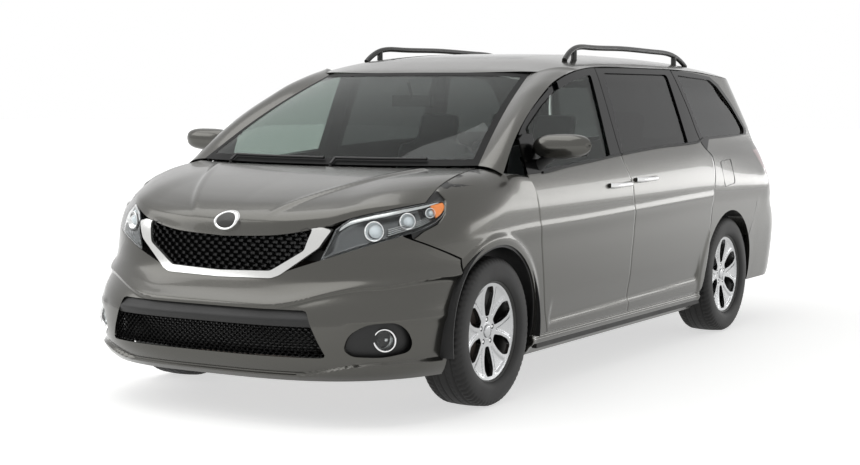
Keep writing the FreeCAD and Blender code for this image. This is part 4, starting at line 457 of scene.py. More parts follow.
for names, look in (
        (("floor_pan", "door_pillars", "front_structure", "sills"), steel),
        (("front_wheelhouses", "rear_wheelhouses", "cowl_panel", "fuel_tank", "wipers"), satin_black),
        (("front_suspension", "rear_axle", "knuckle_front_left", "knuckle_front_right"), cast),
        (("engine_block",), cast), (("exhaust",), exhaust_steel),
        (("front_seats", "second_row_seats", "third_row_seat"), cloth),
        (("dashboard", "steering_wheel"), cabin_vinyl), (("inner_mirror",), satin_black),
        (("roof_rails",), rail_grey), (("grille_trim",), silver_trim), (("upper_grille", "lower_grille"), mesh_black),
        (("headlamps", "fog_lamps"), lamp_chrome), (("tail_lamps",), red_lens),
        (("windshield", "front_door_glass_left", "front_door_glass_right"), clear_glass),
        (("sliding_door_glasses", "quarter_glasses", "tailgate_glass", "sunroof_glass"), dark_glass)):
    for node_name in names:
        dress(NODES[node_name].data, look)
for node_name, node in NODES.items():
    if node_name.startswith(("front_door_l", "front_door_r", "front_fenders", "front_bumper", "hood", "windshield_p",
                             "roof_panel", "sliding_doors", "body_sides", "rear_bumper", "tailgate", "mirror")) \
            and "glass" not in node_name:
        dress(node.data, paint)
    if node_name.startswith("tyre"):
        dress(node.data, rubber)
    if node_name.startswith("rim"):
        dress(node.data, machined)


# The side panels.
def side_slab(y0, y1, z0, z1, rows, columns, inset=0.0):
    """The flank between two places and heights: x is the half width there, less what it is set in."""
    y, z = np.meshgrid(np.linspace(y0, y1, columns), np.linspace(z0, z1, rows))
    return np.stack([flank(y, z) - inset, y, z], -1)


def window_frame(name, y0, y1, outline, body, hole):
    """A black frame on the flank of both sides, cut to an outline in side view and open at its window."""
    for sign, side in SIDES:
        grid = side_slab(y0, y1, 1.05, 1.63, 50, 90) * np.array([sign, 1.0, 1.0])
        piece = sheet_of("%s_%s" % (name, side), grid, gloss_black, body % side if "%s" in body else body,
                         flip=sign < 0)
        trimmed(wall(piece, 0.010), side_prism(outline, sign), [side_prism(hole, sign)])


SLIDE_WINDOW = np.array([(-68, 1142), (881, 1176), (851, 1586), (-38, 1587)]) * MM
QUARTER_WINDOW = np.array([(1120, 1215), (1930, 1218), (1965, 1250), (1810, 1400), (1640, 1520), (1540, 1560),
                           (1010, 1585)]) * MM


def rounded(outline, radius, steps=6):
    """A closed outline with each corner turned by an arc-like curve: the quadratic through both tangent points."""
    outline = np.asarray(outline, float)
    before, after = np.roll(outline, 1, 0) - outline, np.roll(outline, -1, 0) - outline
    lb, la = np.linalg.norm(before, axis=1), np.linalg.norm(after, axis=1)
    reach = np.minimum(radius, np.minimum(lb, la) * 0.45)
    start = outline + before / lb[:, None] * reach[:, None]
    end = outline + after / la[:, None] * reach[:, None]
    t = np.linspace(0, 1, steps)[None, :, None]
    arc = start[:, None] * (1 - t) ** 2 + outline[:, None] * 2 * t * (1 - t) + end[:, None] * t**2
    return arc.reshape(-1, 2)


def run_of(rows):
    """A smooth line through rows of three coordinates in millimetres, asked for by its share of the way."""
    rows = np.asarray(rows, float)
    far = np.concatenate([[0], np.cumsum(np.linalg.norm(np.diff(rows, axis=0), axis=1))])
    far = far / far[-1] * 1000
    parts = [curve(np.stack([far, rows[:, k]], -1)) for k in range(3)]
    return lambda at: np.stack([part(np.asarray(at, float)) for part in parts], -1)


def folded(grid, depth, radius):
    """The left side's grid with its edges turned inwards: a row on the bend, one past it and one at full depth.

    The grid is turned over so that each edge in order (top, bottom, rear, front) is its last row.
    """
    inward = np.array([-1.0, 0.0, 0.0])
    for axis in (0, 1):
        for order in (1, -1):
            rows = np.swapaxes(grid, 0, axis)[::order]
            line = rows[-1]
            out = line - rows[-2]
            out /= np.maximum(np.linalg.norm(out, axis=-1, keepdims=True), 1e-9)
            bend = line + out * radius * 0.7 + inward * radius * 0.3
            turn = line + out * radius + inward * radius
            deep = line + out * radius + inward * depth
            grid = np.swapaxes(np.concatenate([rows, np.stack([bend, turn, deep])])[::order], 0, axis)
    return grid


def core(node, body, look, reach=0.007, inset=0.018):
    """A copy of a body's mesh whose outer skin is set in, to stand behind the pressed skins."""
    mesh = NODES[node].data.copy()
    places = rows_of(mesh.vertices, "co")
    width = flank(places[:, 1], places[:, 2])
    near = np.abs(places[:, 0]) > width - reach
    places[near, 0] = np.sign(places[near, 0]) * (width[near] - inset)
    move_to(mesh, places)
    piece = as_piece(node + "_core", mesh, [look], body, node)
    if node == "sliding_doors":
        merge(mesh)
        fewer = piece.modifiers.new("fewer", "DECIMATE")
        fewer.ratio = 0.42
        settled(piece)


def core_behind(node, skin, body, look, reach):
    """A copy of a body's mesh whose places within reach of a new skin are moved as far back behind it."""
    form = bmesh.new()
    form.from_mesh(skin)
    tree = BVHTree.FromBMesh(form)
    form.free()
    mesh = NODES[node].data.copy()
    middle = Vector((0.0, 0.0, 0.75))
    for point in mesh.vertices:
        spot, normal, _, _ = tree.find_nearest(point.co, reach)
        if spot is not None:
            inward = normal if normal.dot(middle - spot) > 0 else -normal
            point.co = spot + inward * reach
    mesh.update()
    as_piece(node + "_core", mesh, [look], body, node)


def lower_grid(front, rear):
    """A door's skin from its lower edge to the belt line and between two seams."""
    u, v = np.meshgrid(np.linspace(0, 1, 90), np.linspace(0, 1, 80))
    z = DOOR_LOW + (BELT - DOOR_LOW) * v
    for _ in range(3):
        y = front(z) + gap + (rear(z) - front(z) - 2 * gap) * u
        z = DOOR_LOW + (belt_line(y) - DOOR_LOW) * v
    return np.stack([flank(y, z), y, z], -1)


gap = SEAM / 2 - 0.0008
for sign, side in SIDES:
    mirror = np.array([sign, 1.0, 1.0])
    core("front_door_" + side, "front_door_" + side, gloss_black)
    for name, body, front, rear in (("front_door_skin_", "front_door_" + side, door_front, door_rear),
                                    ("sliding_door_skin_", "body_shell", door_rear, slide_rear)):
        grid = folded(lower_grid(front, rear), 0.016, 0.0025)
        piece = sheet_of(name + side, grid * mirror, paint, body, flip=sign < 0)
        piece.data.set_sharp_from_angle(angle=math.radians(50))
core("sliding_doors", "body_shell", gloss_black)
core("front_fenders", "body_shell", satin_black, 0.004, 0.012)

# Black frames round the windows, between the seams over the belt line.
TOP_LINE = curve([(-1250, 1240), (-1160, 1300), (-1058, 1362), (-960, 1410), (-858, 1452), (-662, 1527), (-490, 1571),
                  (-301, 1600), (-139, 1612), (443, 1616), (932, 1614), (1262, 1606), (1556, 1582), (1655, 1543),
                  (1828, 1420), (1989, 1258), (2050, 1215)], 0.004)


def frame_outline(front, rear):
    """Outline between two seams from the belt line to the frames' upper edge."""
    z = np.linspace(1.0, DOOR_TOP, 200)
    f, r = np.stack([front(z) + gap, z], -1), np.stack([rear(z) - gap, z], -1)
    f = f[(f[:, 1] > belt_line(f[:, 0]) + 0.002) & (f[:, 1] < TOP_LINE(f[:, 0]))]
    r = r[(r[:, 1] > belt_line(r[:, 0]) + 0.002) & (r[:, 1] < TOP_LINE(r[:, 0]))]
    top = np.linspace(f[-1, 0] + 0.002, r[-1, 0] - 0.002, 60)
    low = np.linspace(r[0, 0] - 0.002, f[0, 0] + 0.002, 60)
    upper, lower = np.stack([top, TOP_LINE(top)], -1), np.stack([low, belt_line(low) + 0.002], -1)
    return np.concatenate([f, upper, r[::-1], lower])


FRONT_WINDOW = np.array([(-1075, 1104), (-244, 1138), (-205, 1576), (-300, 1563), (-490, 1534), (-662, 1490),
                         (-858, 1415), (-1050, 1325), (-1075, 1306)]) * MM
window_frame("front_window_frame", -1.26, -0.05, frame_outline(door_front, door_rear), "front_door_%s",
             rounded(FRONT_WINDOW, 0.02))
window_frame("sliding_window_frame", -0.15, 1.26, frame_outline(door_rear, slide_rear), "body_shell",
             rounded(SLIDE_WINDOW, 0.03))

# Front fenders: the flank up to the shoulder, then a cubic bend over to the hood's edge.
FENDER_TOP = run_of([(796, -2100, 952), (836, -1990, 984), (824, -1860, 1050), (818, -1700, 1092), (822, -1580, 1110),
                     (850, -1492, 1116), (930, -1450, 1100), (957, -1330, 1086), (962, -1236, 1073)])
FENDER_FRONT = -2.171


def fender_grid(rows, columns):
    """The fender's skin from the sill's height to the hood's edge."""
    top = FENDER_TOP(np.linspace(0, 1, columns))[None]
    u, v = np.meshgrid(np.linspace(0, 1, columns), np.linspace(0, 1, rows))
    turn = top[..., 2] - 0.113
    z = DOOR_LOW + (turn - DOOR_LOW) * np.minimum(1, v / 0.6)
    y = FENDER_FRONT + (door_front(z) - gap - FENDER_FRONT) * u
    start = np.stack([flank(y, z), y, z], -1)
    below = np.stack([flank(y, z - SEAM), y, z - SEAM], -1)
    rise = (start - below) * ((top[..., 2] - turn) * 0.7 / SEAM)[..., None]
    crest = np.stack([top[..., 0] + (start[..., 0] - top[..., 0]) * 0.5, np.broadcast_to(top[..., 1], y.shape),
                      top[..., 2] + (start[..., 2] - top[..., 2]) * 0.08], -1)
    t = np.clip((v - 0.6) / 0.4, 0, 1)[..., None]
    over = start * (1 - t) ** 3 + (start + rise) * 3 * t * (1 - t) ** 2 + crest * 3 * t * t * (1 - t) + top * t**3
    return np.where(t > 0, over, start)


def arch_run(axle, start, end, count=40):
    """Places in side view on the wheel arch, between two angles in degrees from the rear."""
    turn = np.radians(np.linspace(start, end, count))
    return np.stack([axle + ARCH_RADIUS * np.cos(turn), HUB + ARCH_RADIUS * np.sin(turn)], -1)


fender_outline = np.concatenate([
    np.array([(-1895, 990), (-1934, 930), (-1988, 888), (-2060, 858), (-2106, 826), (-2016, 787), (-1870, 728)]) * MM,
    arch_run(FRONT_AXLE, 137, -9.5),
    np.array([(-1160, 283), (-900, 283), (-900, 1200), (-1895, 1200)]) * MM])
for sign, side in SIDES:
    grid = fender_grid(110, 120) * np.array([sign, 1.0, 1.0])
    piece = sheet_of("front_fender_skin_" + side, grid, paint, "body_shell", flip=sign < 0)
    wall(piece, 0.008)
    trimmed(piece, side_prism(fender_outline, sign), [], 40)

# Black frames round the rear side windows, and the arcs of their outer edges.
for sign, side in SIDES:
    mirror = np.array([sign, 1.0, 1.0])
    frame_ring = sheet_of("quarter_window_frame_" + side, side_slab(0.88, 2.06, 1.12, 1.62, 50, 100, -0.0016) * mirror,
                          gloss_black, "body_shell", flip=sign < 0)
    wall(frame_ring, 0.008)
    ring = np.array([(1232, 1200), (1697, 1206), (1985, 1214), (2006, 1250), (1856, 1403), (1688, 1532), (1568, 1580),
                     (1262, 1604), (945, 1612)]) * MM
    z_up = np.linspace(1.135, 1.6, 40)
    front_run = np.stack([slide_rear(z_up) + gap, z_up], -1)
    keep = np.concatenate([front_run, ring[::-1]])
    trimmed(frame_ring, side_prism(keep, sign), [side_prism(rounded(QUARTER_WINDOW, 0.02), sign)], 40)

# The hood: blended between its front and rear edges, its middle raised between two creases.
HOOD_FRONT = run_of([(0, -2376, 824), (250, -2366, 836), (500, -2308, 880), (625, -2242, 926), (740, -2130, 958),
                     (836, -1990, 984)])
HOOD_REAR = run_of([(0, -1612, 1111), (300, -1604, 1113), (560, -1572, 1117), (740, -1528, 1119), (824, -1500, 1121)])
hood_middle = curve([(0, 0), (28, 243), (110, 420), (290, 610), (610, 820), (1000, 1000)])
hood_edge = curve([(0, 0), (100, 200), (256, 480), (570, 790), (810, 920), (1000, 1000)])


def hood_grid(rows, columns):
    """The hood's skin, with its middle 6.5 mm higher inside two creases that spread rearwards."""
    u, v = np.meshgrid(np.linspace(-1, 1, columns), np.linspace(0, 1, rows))
    share = np.abs(u)
    front, rear = HOOD_FRONT(share), HOOD_REAR(share)
    run = v * v
    middle, side = hood_middle(run), hood_edge(run)
    rise = middle + (side - middle) * share * share
    place = front + (rear - front) * run[..., None]
    z = front[..., 2] + (rear[..., 2] - front[..., 2]) * rise
    x, y = place[..., 0], place[..., 1]
    crease = 0.20 + 0.42 * np.clip((y + 2.34) / 0.72, 0, 1) ** 0.8
    start, end = smooth_step((y + 2.36) / 0.12), smooth_step((-1.60 - y) / 0.05 + 0.3)
    inside = smooth_step((crease - x) / 0.022 + 0.5)
    ridge = np.exp(-((x - crease + 0.008) / 0.016) ** 2)
    z = z + (0.0065 * inside + 0.004 * ridge) * start * end
    return np.stack([np.sign(u) * x, y, z], -1)


hood_skin = sheet_of("hood_skin", hood_grid(84, 126), paint, "hood", flip=True)
core_behind("hood", hood_skin.data, "hood", paint, 0.016)
wall(hood_skin, 0.010)
settled(hood_skin, 45)

# The bumper's skin: the nose's section carried round both corners by the superellipse's own angle.
def nose_grid(low, high, rows, columns, inset=0.0, reach=1.0, bump=None):
    """Rows of equal height from the right side to the left; the share s of the width and the depth d of the
    corner follow from one angle a: s = sin(a)^(2/3.2) and 1 - d = cos(a)^(2/2.4)."""
    z = np.linspace(low, high, rows)[:, None]
    u = np.linspace(-1, 1, columns)[None] * reach
    a = np.pi / 2 * np.abs(u) ** 1.45
    bend, tightness = NOSE_POWERS
    share, depth = np.broadcast_arrays(np.sin(a) ** (2 / tightness), 1 - np.cos(a) ** (2 / bend), z)[:2]
    x = section(z) * share
    y = nose(z) + FRONT_CORNER * depth
    z = np.broadcast_to(z, x.shape)
    normal = np.stack([share * 0.9, -(1 - depth), np.zeros_like(z)], -1)
    normal /= np.linalg.norm(normal, axis=-1, keepdims=True)
    out = (bump(x, y, z) if bump else 0.0) - inset
    place = np.stack([np.sign(u) * x, y, z], -1)
    normal[..., 0] *= np.sign(np.broadcast_to(u, x.shape))
    return place + normal * np.asarray(out)[..., None]


def bumper_bump(x, y, z):
    """The bumper's pressed lines: a crease that rises outwards, a brow over the fog lamp and a lip at the foot."""
    line = 0.540 + 0.085 * smooth_step((x - 0.30) / 0.45) + 0.03 * smooth_step((x - 0.75) / 0.2)
    over = z > line
    crease = 0.016 * np.where(over, np.exp(-((z - line) / 0.030) ** 2), np.exp(-((z - line) / 0.012) ** 2))
    lip_line = 0.235 + 0.05 * smooth_step((x - 0.45) / 0.3)
    lip = 0.022 * smooth_step((lip_line - z) / 0.016 + 0.5)
    brow = 0.006 * np.exp(-((z - 0.478) / 0.018) ** 2) * smooth_step((x - 0.66) / 0.06)
    return crease + lip + brow


def front_prism(outline):
    """A prism along the vehicle on an outline of widths and heights, in front of the axle."""
    return prism(np.asarray(outline, float) * MM, 1, -2.9, -1.75)


def mirrored_outline(rows):
    """The outline closed over the middle by its own mirror image."""
    rows = np.asarray(rows, float)
    return np.concatenate([rows, rows[rows[:, 0] > 0][::-1] * np.array([-1, 1])])


bumper = sheet_of("front_bumper_skin", nose_grid(0.205, 0.862, 120, 250, reach=0.96, bump=bumper_bump), paint,
                  "body_shell")
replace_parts(bumper, "front_bumper")
wall(bumper, 0.010)
seam_rows = np.array([(-1880, 722), (-2020, 781), (-2112, 820), (-2142, 836), (-2200, 900), (-1400, 900),
                      (-1400, 150)]) * MM
behind_seam = np.concatenate([np.array([(-1985, 150)]) * MM, arch_run(FRONT_AXLE, 203, 141, 30), seam_rows])
# The upper edge under the hood, the grille and the lamps, and the openings.
top_hole = mirrored_outline([(0, 655), (295, 660), (330, 672), (506, 732), (655, 784), (800, 836), (860, 880),
                             (860, 1000), (0, 1000)])
low_hole = mirrored_outline([(0, 524), (500, 524), (516, 519), (524, 508), (600, 330), (596, 320), (580, 316),
                             (0, 316)])
tools = [front_prism(top_hole), front_prism(low_hole), prism(behind_seam, 0, -1.2, 1.2)]
for sign in (1, -1):
    eye = np.array([(672, 352), (700, 322), (800, 312), (868, 330), (880, 372), (872, 430), (846, 470), (760, 466),
                    (692, 420)]) * np.array([sign, 1])
    tools.append(front_prism(rounded(eye * MM, 0.03, 5) / MM))
trimmed(bumper, None, tools, 38, "FAST")

# The grille: a silver frame, a honeycomb and a plain oval badge.
def on_nose(x, z, out=0.0):
    """Places on the nose at widths and heights, moved straight ahead."""
    x, z = np.broadcast_arrays(np.asarray(x, float), np.asarray(z, float))
    return np.stack([x, nose_at(x, z) - out, z], -1)


GRILLE_OUTER = mirrored_outline([(0, 826), (250, 838), (500, 880), (548, 868), (503, 790), (330, 664), (292, 650),
                                 (0, 644)])
GRILLE_INNER = mirrored_outline([(0, 835), (250, 849), (440, 884), (462, 868), (436, 776), (306, 697), (278, 681),
                                 (0, 672)])
x, z = np.meshgrid(np.linspace(-0.57, 0.57, 240), np.linspace(0.63, 0.9, 96))
trim = sheet_of("grille_frame", on_nose(x, z, 0.004), silver_trim, "body_shell")
wall(trim, 0.022)
trimmed(trim, front_prism(rounded(GRILLE_OUTER * MM, 0.012, 4) / MM),
        [front_prism(rounded(GRILLE_INNER * MM, 0.012, 4) / MM)], 35)
edge = trim.modifiers.new("soft_edge", "BEVEL")
edge.width, edge.segments, edge.limit_method, edge.angle_limit = 0.003, 2, "ANGLE", math.radians(50)
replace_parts(trim, "grille_trim")


def inside_of(points, outline):
    """Whether points lie inside a closed outline, by counting crossings."""
    x, z = points[..., 0], points[..., 1]
    inside = np.zeros(x.shape, bool)
    for (x0, z0), (x1, z1) in zip(outline, np.roll(outline, -1, 0)):
        crosses = (z0 > z) != (z1 > z)
        with np.errstate(divide="ignore", invalid="ignore"):
            inside ^= crosses & (x < (x1 - x0) * (z - z0) / (z1 - z0) + x0)
    return inside


def honeycomb(name, outline, pitch_x, pitch_z, bar, depth, look, set_in, replaced):
    """Six-sided cells between thin bars: each cell is five rounds of six places, from the back up to the front
    edge, across the bar's half width and down again."""
    low, high = outline.min(0), outline.max(0)
    rows = np.arange(low[1] - pitch_z, high[1] + pitch_z, pitch_z * 0.75)
    centres = np.array([(x, z) for k, z in enumerate(rows)
                        for x in np.arange(-20, 21) * pitch_x + (pitch_x / 2 if k % 2 else 0)])
    reach = [[0, pitch_z * 0.3], [pitch_x * 0.35, 0]]
    centres = centres[np.any([inside_of(centres + way * np.array(r), outline) for r in reach for way in (1, -1)], 0)]
    corners = np.array([(0, 0.5), (0.5, 0.25), (0.5, -0.25), (0, -0.5), (-0.5, -0.25), (-0.5, 0.25)])
    corners = corners * [pitch_x, pitch_z]
    shrink = 1 - bar / pitch_z
    rounds = []
    for scale, back in ((1.0, depth), (1.0, 0.002), (1 - (1 - shrink) * 0.4, 0.0), (shrink, 0.0035),
                        (shrink * 0.97, depth)):
        at = centres[:, None] + corners * scale
        rounds.append(on_nose(at[..., 0], at[..., 1]) + np.array([0, set_in + back, 0]))
    places = np.stack(rounds, 1)
    cell = grid_faces(5, 6, round_columns=True)[:, [0, 3, 2, 1]]
    faces = (cell + 30 * np.arange(len(centres))[:, None, None]).reshape(-1, 4)
    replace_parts(new_piece(name, places, faces, look, "body_shell", smooth=False), replaced)


honeycomb("grille_mesh", rounded(GRILLE_INNER * MM, 0.01, 3), 0.047, 0.0235, 0.0062, 0.020, mesh_black, 0.012,
          "upper_grille")
# A dark sheet set 34 mm behind the grille's bars makes its cells read dark: painted shadow inside the grille.
grille_shade_places = on_nose(*np.meshgrid(np.linspace(-0.52, 0.52, 80), np.linspace(0.66, 0.885, 20))) + np.array([0, 0.034, 0])
grille_shade_sheet = sheet_of("grille_shadow", grille_shade_places, mesh_black, "body_shell")
trimmed(wall(grille_shade_sheet, 0.003), front_prism(GRILLE_OUTER * np.array([0.97, 0.99])), [], 35)
BADGE_TURNS = 64
turn = np.linspace(0, 2 * np.pi, BADGE_TURNS, endpoint=False)
rings = []
for scale, out in ((0.0, 0.009), (0.5, 0.0088), (0.72, 0.008), (0.78, 0.0075), (0.82, 0.012), (0.92, 0.013),
                   (1.0, 0.008), (1.0, -0.012)):
    x, z = 0.066 * scale * np.cos(turn), 0.892 + 0.044 * scale * np.sin(turn)
    runs = np.linspace(0, 0.12, 80)
    run = np.interp((z - 0.824) / 0.287, hood_middle(runs), runs)
    y = -2.376 + 0.764 * run + nose_at(x, 0.9) - nose_at(0.0, 0.9)
    rings.append(np.stack([x, y - out - 0.006, z + 0.002], -1))
badge = sheet_of("plain_oval_badge", np.array(rings), chrome, "hood", around_columns=True)
badge.data.materials.append(pocket_grey)
badge.data.polygons.foreach_set("material_index", (np.arange(len(badge.data.polygons)) < 3 * BADGE_TURNS).astype(int))

# The lower intake: a black plank across its top and a mesh of bars below, and the fog lamps' hollows.
LOW_OUTLINE = mirrored_outline([(0, 527), (514, 527), (530, 512), (608, 330), (600, 314), (0, 312)]) * MM
plank = nose_grid(0.452, 0.530, 16, 160, 0.012, 0.44, lambda x, y, z: 0.012 * np.exp(-((z - 0.480) / 0.02) ** 2))
piece = sheet_of("intake_plank", plank, satin_black, "body_shell")
trimmed(wall(piece, 0.012), front_prism(LOW_OUTLINE / MM), [], 35)
honeycomb("intake_mesh", LOW_OUTLINE * np.array([0.985, 1.0]), 0.030, 0.017, 0.004, 0.012,
          satin_black, 0.040, "lower_grille")
piece = sheet_of("intake_shadow", nose_grid(0.305, 0.53, 12, 120, 0.062, 0.52), mesh_black, "body_shell")
trimmed(wall(piece, 0.003), front_prism(LOW_OUTLINE / MM * np.array([1.02, 1])), [], 35)


def tilted_rings(centre, axis, profile, around=64):
    """A grid of rings about an axis: rows of place along it and radius."""
    axis = np.asarray(axis, float) / np.linalg.norm(axis)
    side = np.cross(axis, [0, 0, 1.0])
    side /= np.linalg.norm(side)
    over = np.cross(side, axis)
    turn = np.linspace(0, 2 * np.pi, around, endpoint=False)
    profile = np.asarray(profile, float)
    return (np.asarray(centre) + profile[:, 0, None, None] * axis
            + profile[:, 1, None, None] * (np.cos(turn)[None, :, None] * side + np.sin(turn)[None, :, None] * over))


for sign, side in SIDES:
    mirror = np.array([sign, 1.0, 1.0])
    piece = sheet_of("fog_pocket_" + side, nose_grid(0.30, 0.48, 50, 300, 0.030, 0.96), satin_black, "body_shell")
    wall(piece, 0.004)
    eye = np.array([(660, 350), (695, 312), (800, 302), (880, 322), (892, 372), (884, 436), (850, 480), (756, 474),
                    (680, 424)]) * np.array([sign, 1])
    trimmed(piece, front_prism(rounded(eye * MM, 0.03, 5) / MM), [], 38)
    axis = np.array([0.35, -1.0, 0.0]) * mirror
    centre = np.array([0.800, -2.272, 0.390]) * mirror
    for name, look, slot, rows in (
            ("ring", chrome, "bright_trim", [(-0.03, 0.049), (0.008, 0.053), (0.014, 0.051), (0.013, 0.046),
                                             (0.002, 0.043)]),
            ("bowl", lamp_chrome, "lamp_lens", [(0.003, 0.044), (-0.016, 0.036), (-0.026, 0.02), (-0.03, 0.0)]),
            ("bulb", lamp_chrome, "lamp_lens", [(-0.03, 0.010), (-0.012, 0.0095), (-0.006, 0.007), (-0.004, 0.0)]),
            ("lens", thin_lens, "lamp_lens", [(0.0055, 0.0435), (0.009, 0.030), (0.0105, 0.0)])):
        piece = sheet_of("fog_lamp_%s_%s" % (name, side), tilted_rings(centre, axis, rows), look, "body_shell",
                         around_columns=True)
    if sign > 0:
        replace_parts(piece, "fog_lamps")

# Headlamps: a clear shell over a dark housing with a projector, a bowl, fins and an amber marker.
LAMP_LOW = run_of([(508, -2355, 734), (660, -2275, 790), (798, -2163, 840), (880, -2040, 880), (908, -1945, 930),
                   (897, -1900, 978)])
LAMP_HIGH = run_of([(562, -2308, 871), (620, -2246, 922), (740, -2128, 954), (836, -1998, 978), (880, -1925, 988),
                    (896, -1897, 984)])


def lamp_grid(rows, columns, back, u0=0.004, u1=0.99, v0=0.0, v1=1.0):
    """The lens between its lower and upper lines, set back square to the corner; a place is put on the skin by
    moving it along the corner's diagonal until the section's width share and the corner's depth agree."""
    u, v = np.meshgrid(np.linspace(u0, u1, columns), np.linspace(v0, v1, rows))
    low, high = LAMP_LOW(u), LAMP_HIGH(u)
    place = low + (high - low) * v[..., None]
    step = np.zeros(place.shape[:2])
    for _ in range(24):
        x, y, z = place[..., 0] + step * 0.7, place[..., 1] - step * 0.7, place[..., 2]
        width = section(z) * corner_share((y - nose(z)) / FRONT_CORNER, *NOSE_POWERS)
        step += (width - x) * 0.45
    x, y = place[..., 0] + step * 0.7, place[..., 1] - step * 0.7
    lean = np.stack([0.45 + 0.5 * u, -(1.0 - 0.6 * u), np.full_like(u, 0.35)], -1)
    lean /= np.linalg.norm(lean, axis=-1, keepdims=True)
    return np.stack([x, y, place[..., 2]], -1) - lean * np.asarray(back)[..., None]


def folded_back(grid, depth):
    """The grid with one more round at each edge, moved rearwards and inwards."""
    push = np.array([-0.5, 0.8, -0.1]) * depth
    grid = np.concatenate([grid[:1] + push, grid, grid[-1:] + push], 0)
    return np.concatenate([grid[:, :1] + push, grid, grid[:, -1:] + push], 1)


for sign, side in SIDES:
    mirror = np.array([sign, 1.0, 1.0])
    flip = sign < 0
    shell = folded_back(lamp_grid(30, 90, 0.0, 0.008, 0.985, 0.02, 0.98), 0.012)
    lens = sheet_of("headlamp_lens_" + side, shell * mirror, thin_lens, "body_shell", flip=flip)
    u = np.linspace(0, 1, 90)
    steps = 0.052 + 0.006 * np.sin(u * 40) * (u > 0.62) - 0.020 * smooth_step((u - 0.85) / 0.1)
    v = np.linspace(0, 1, 30)[:, None]
    cup = np.clip(1 - (2 * v - 1) ** 6, 0, 1) * np.clip(1 - (2 * u[None] - 1) ** 10, 0, 1)
    housing = sheet_of("headlamp_housing_" + side, lamp_grid(30, 90, 0.004 + (steps[None] - 0.004) * cup) * mirror,
                       lamp_black, "body_shell", flip=flip)
    wall(housing, 0.002)
    ledge = sheet_of("headlamp_ledge_" + side, lamp_grid(6, 90, 0.008, 0.05, 0.93, 0.86, 0.955) * mirror, lamp_chrome,
                     "body_shell", flip=flip)
    wall(ledge, 0.018)
    marker = sheet_of("headlamp_marker_" + side, lamp_grid(8, 24, 0.007, 0.84, 0.965, 0.16, 0.84) * mirror, amber,
                      "body_shell", flip=flip)
    wall(marker, 0.01)
    for name, at_u, at_v, radius, deep in (("projector", 0.36, 0.46, 0.044, 0.030),
                                           ("high_beam", 0.62, 0.50, 0.036, 0.022),
                                           ("turn_bulb", 0.82, 0.52, 0.022, 0.016)):
        spot = lamp_grid(2, 2, deep, at_u, at_u + 0.001, at_v, at_v + 0.001)[0, 0]
        axis = np.array([0.30, -1.0, 0.06])
        for kind, look, rows in (
                ("ring", chrome, [(-0.03, 0.55), (0.0, 1.0), (0.008, 1.04), (0.009, 0.98), (0.0, 0.86),
                                  (-0.018, 0.70), (-0.018, 0.66)]),
                ("lens", projector_glass, [(-0.018, 0.70), (-0.006, 0.62), (0.003, 0.42), (0.007, 0.2), (0.008, 0.0)])):
            grid = tilted_rings(spot, axis, np.array(rows) * [1, radius], 48)
            sheet_of("%s_%s_%s" % (name, kind, side), grid * mirror, look, "body_shell",
                     around_columns=True, flip=flip)
    for k in range(4):
        fin = lamp_grid(3, 30, 0.030, 0.46, 0.86, 0.18 + 0.07 * k, 0.20 + 0.07 * k)
        piece = sheet_of("headlamp_fin_%d_%s" % (k + 1, side), fin * mirror, lamp_chrome, "body_shell",
                         flip=flip)
        wall(piece, 0.012)
    if sign > 0:
        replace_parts(lens, "headlamps")

# Wheels. One is made at the origin with X outwards and copied to the four corners.
RIM_R = 0.241


def polar(rows, turn=0.0):
    """Places in the wheel's plane from rows of share of the rim's radius and angle in degrees."""
    share, angle = np.asarray(rows, float).T
    angle = np.radians(angle + turn)
    return np.stack([share * RIM_R * np.cos(angle), share * RIM_R * np.sin(angle)], -1)


def placed(mesh, name, looks, body, centre, sign, replaced=None):
    """A copy of a mesh moved to a wheel's centre, turned half round on the right side."""
    copy = mesh.copy()
    move_to(copy, rows_of(copy.vertices, "co") * np.array([sign, sign, 1.0]) + np.asarray(centre))
    as_piece(name, copy, looks, body, replaced)


def revolve(profile, around):
    """A grid about the wheel's axle: rows of place outwards along it and radius."""
    profile = np.asarray(profile, float)
    turn = np.linspace(0, 2 * np.pi, around, endpoint=False)
    radius = profile[:, 1, None]
    return np.stack([np.broadcast_to(profile[:, 0, None], (len(profile), around)), radius * np.cos(turn),
                     radius * np.sin(turn)], -1)


# The spoked face: a dish x = 68 mm + 22 mm (r / R)^2.2 with a crease pressed into each spoke.
face_r = np.linspace(0.004, 0.2345, 40)
back_r = face_r[::-1]
FACE_TURNS = 200
SPOKES, NUTS, NUT_SHARE = 6, 5, 0.235
turn = np.linspace(0, 2 * np.pi, FACE_TURNS, endpoint=False)
front_face = np.stack([0.066 + 0.024 * (face_r / RIM_R) ** 2.2, face_r], -1)
back_face = np.stack([0.036 + 0.040 * (back_r / RIM_R) ** 2.0, back_r], -1)
grid = revolve(np.concatenate([front_face, back_face]), FACE_TURNS)
spoke_turn = np.abs((np.degrees(turn) + 30) % 60 - 30)[None]
r = face_r[:, None]
wedge = 2.0 + 12.0 * np.clip((r / RIM_R - 0.36) / 0.5, 0, 1)
dent = smooth_step((wedge - spoke_turn) / 1.6) * smooth_step((r / RIM_R - 0.36) / 0.04)
dent = dent * smooth_step((0.90 - r / RIM_R) / 0.03)
grid[:len(r), :, 0] -= 0.0045 * dent
grid[:len(r), :, 0] += 0.003 * np.exp(-((r - 0.036) / 0.005) ** 2)
made = sheet_of("wheel_master", grid, machined, around_rows=True, around_columns=True)
tools = []
for k in range(SPOKES):
    outline = rounded(polar([(0.31, 17), (0.56, 14.5), (0.77, 17), (0.895, 23), (0.895, 37), (0.77, 43), (0.56, 45.5),
                             (0.31, 43)], turn=60 * k), 0.011, 5)
    tools.append(prism(outline, 0, -0.05, 0.15))
nut_spots = polar([(NUT_SHARE, 90 + 72 * k) for k in range(NUTS)])
for spot in nut_spots:
    tools.append(prism(spot + 0.0125 * np.stack([np.cos(turn[::15]), np.sin(turn[::15])], -1), 0, 0.052, 0.15))
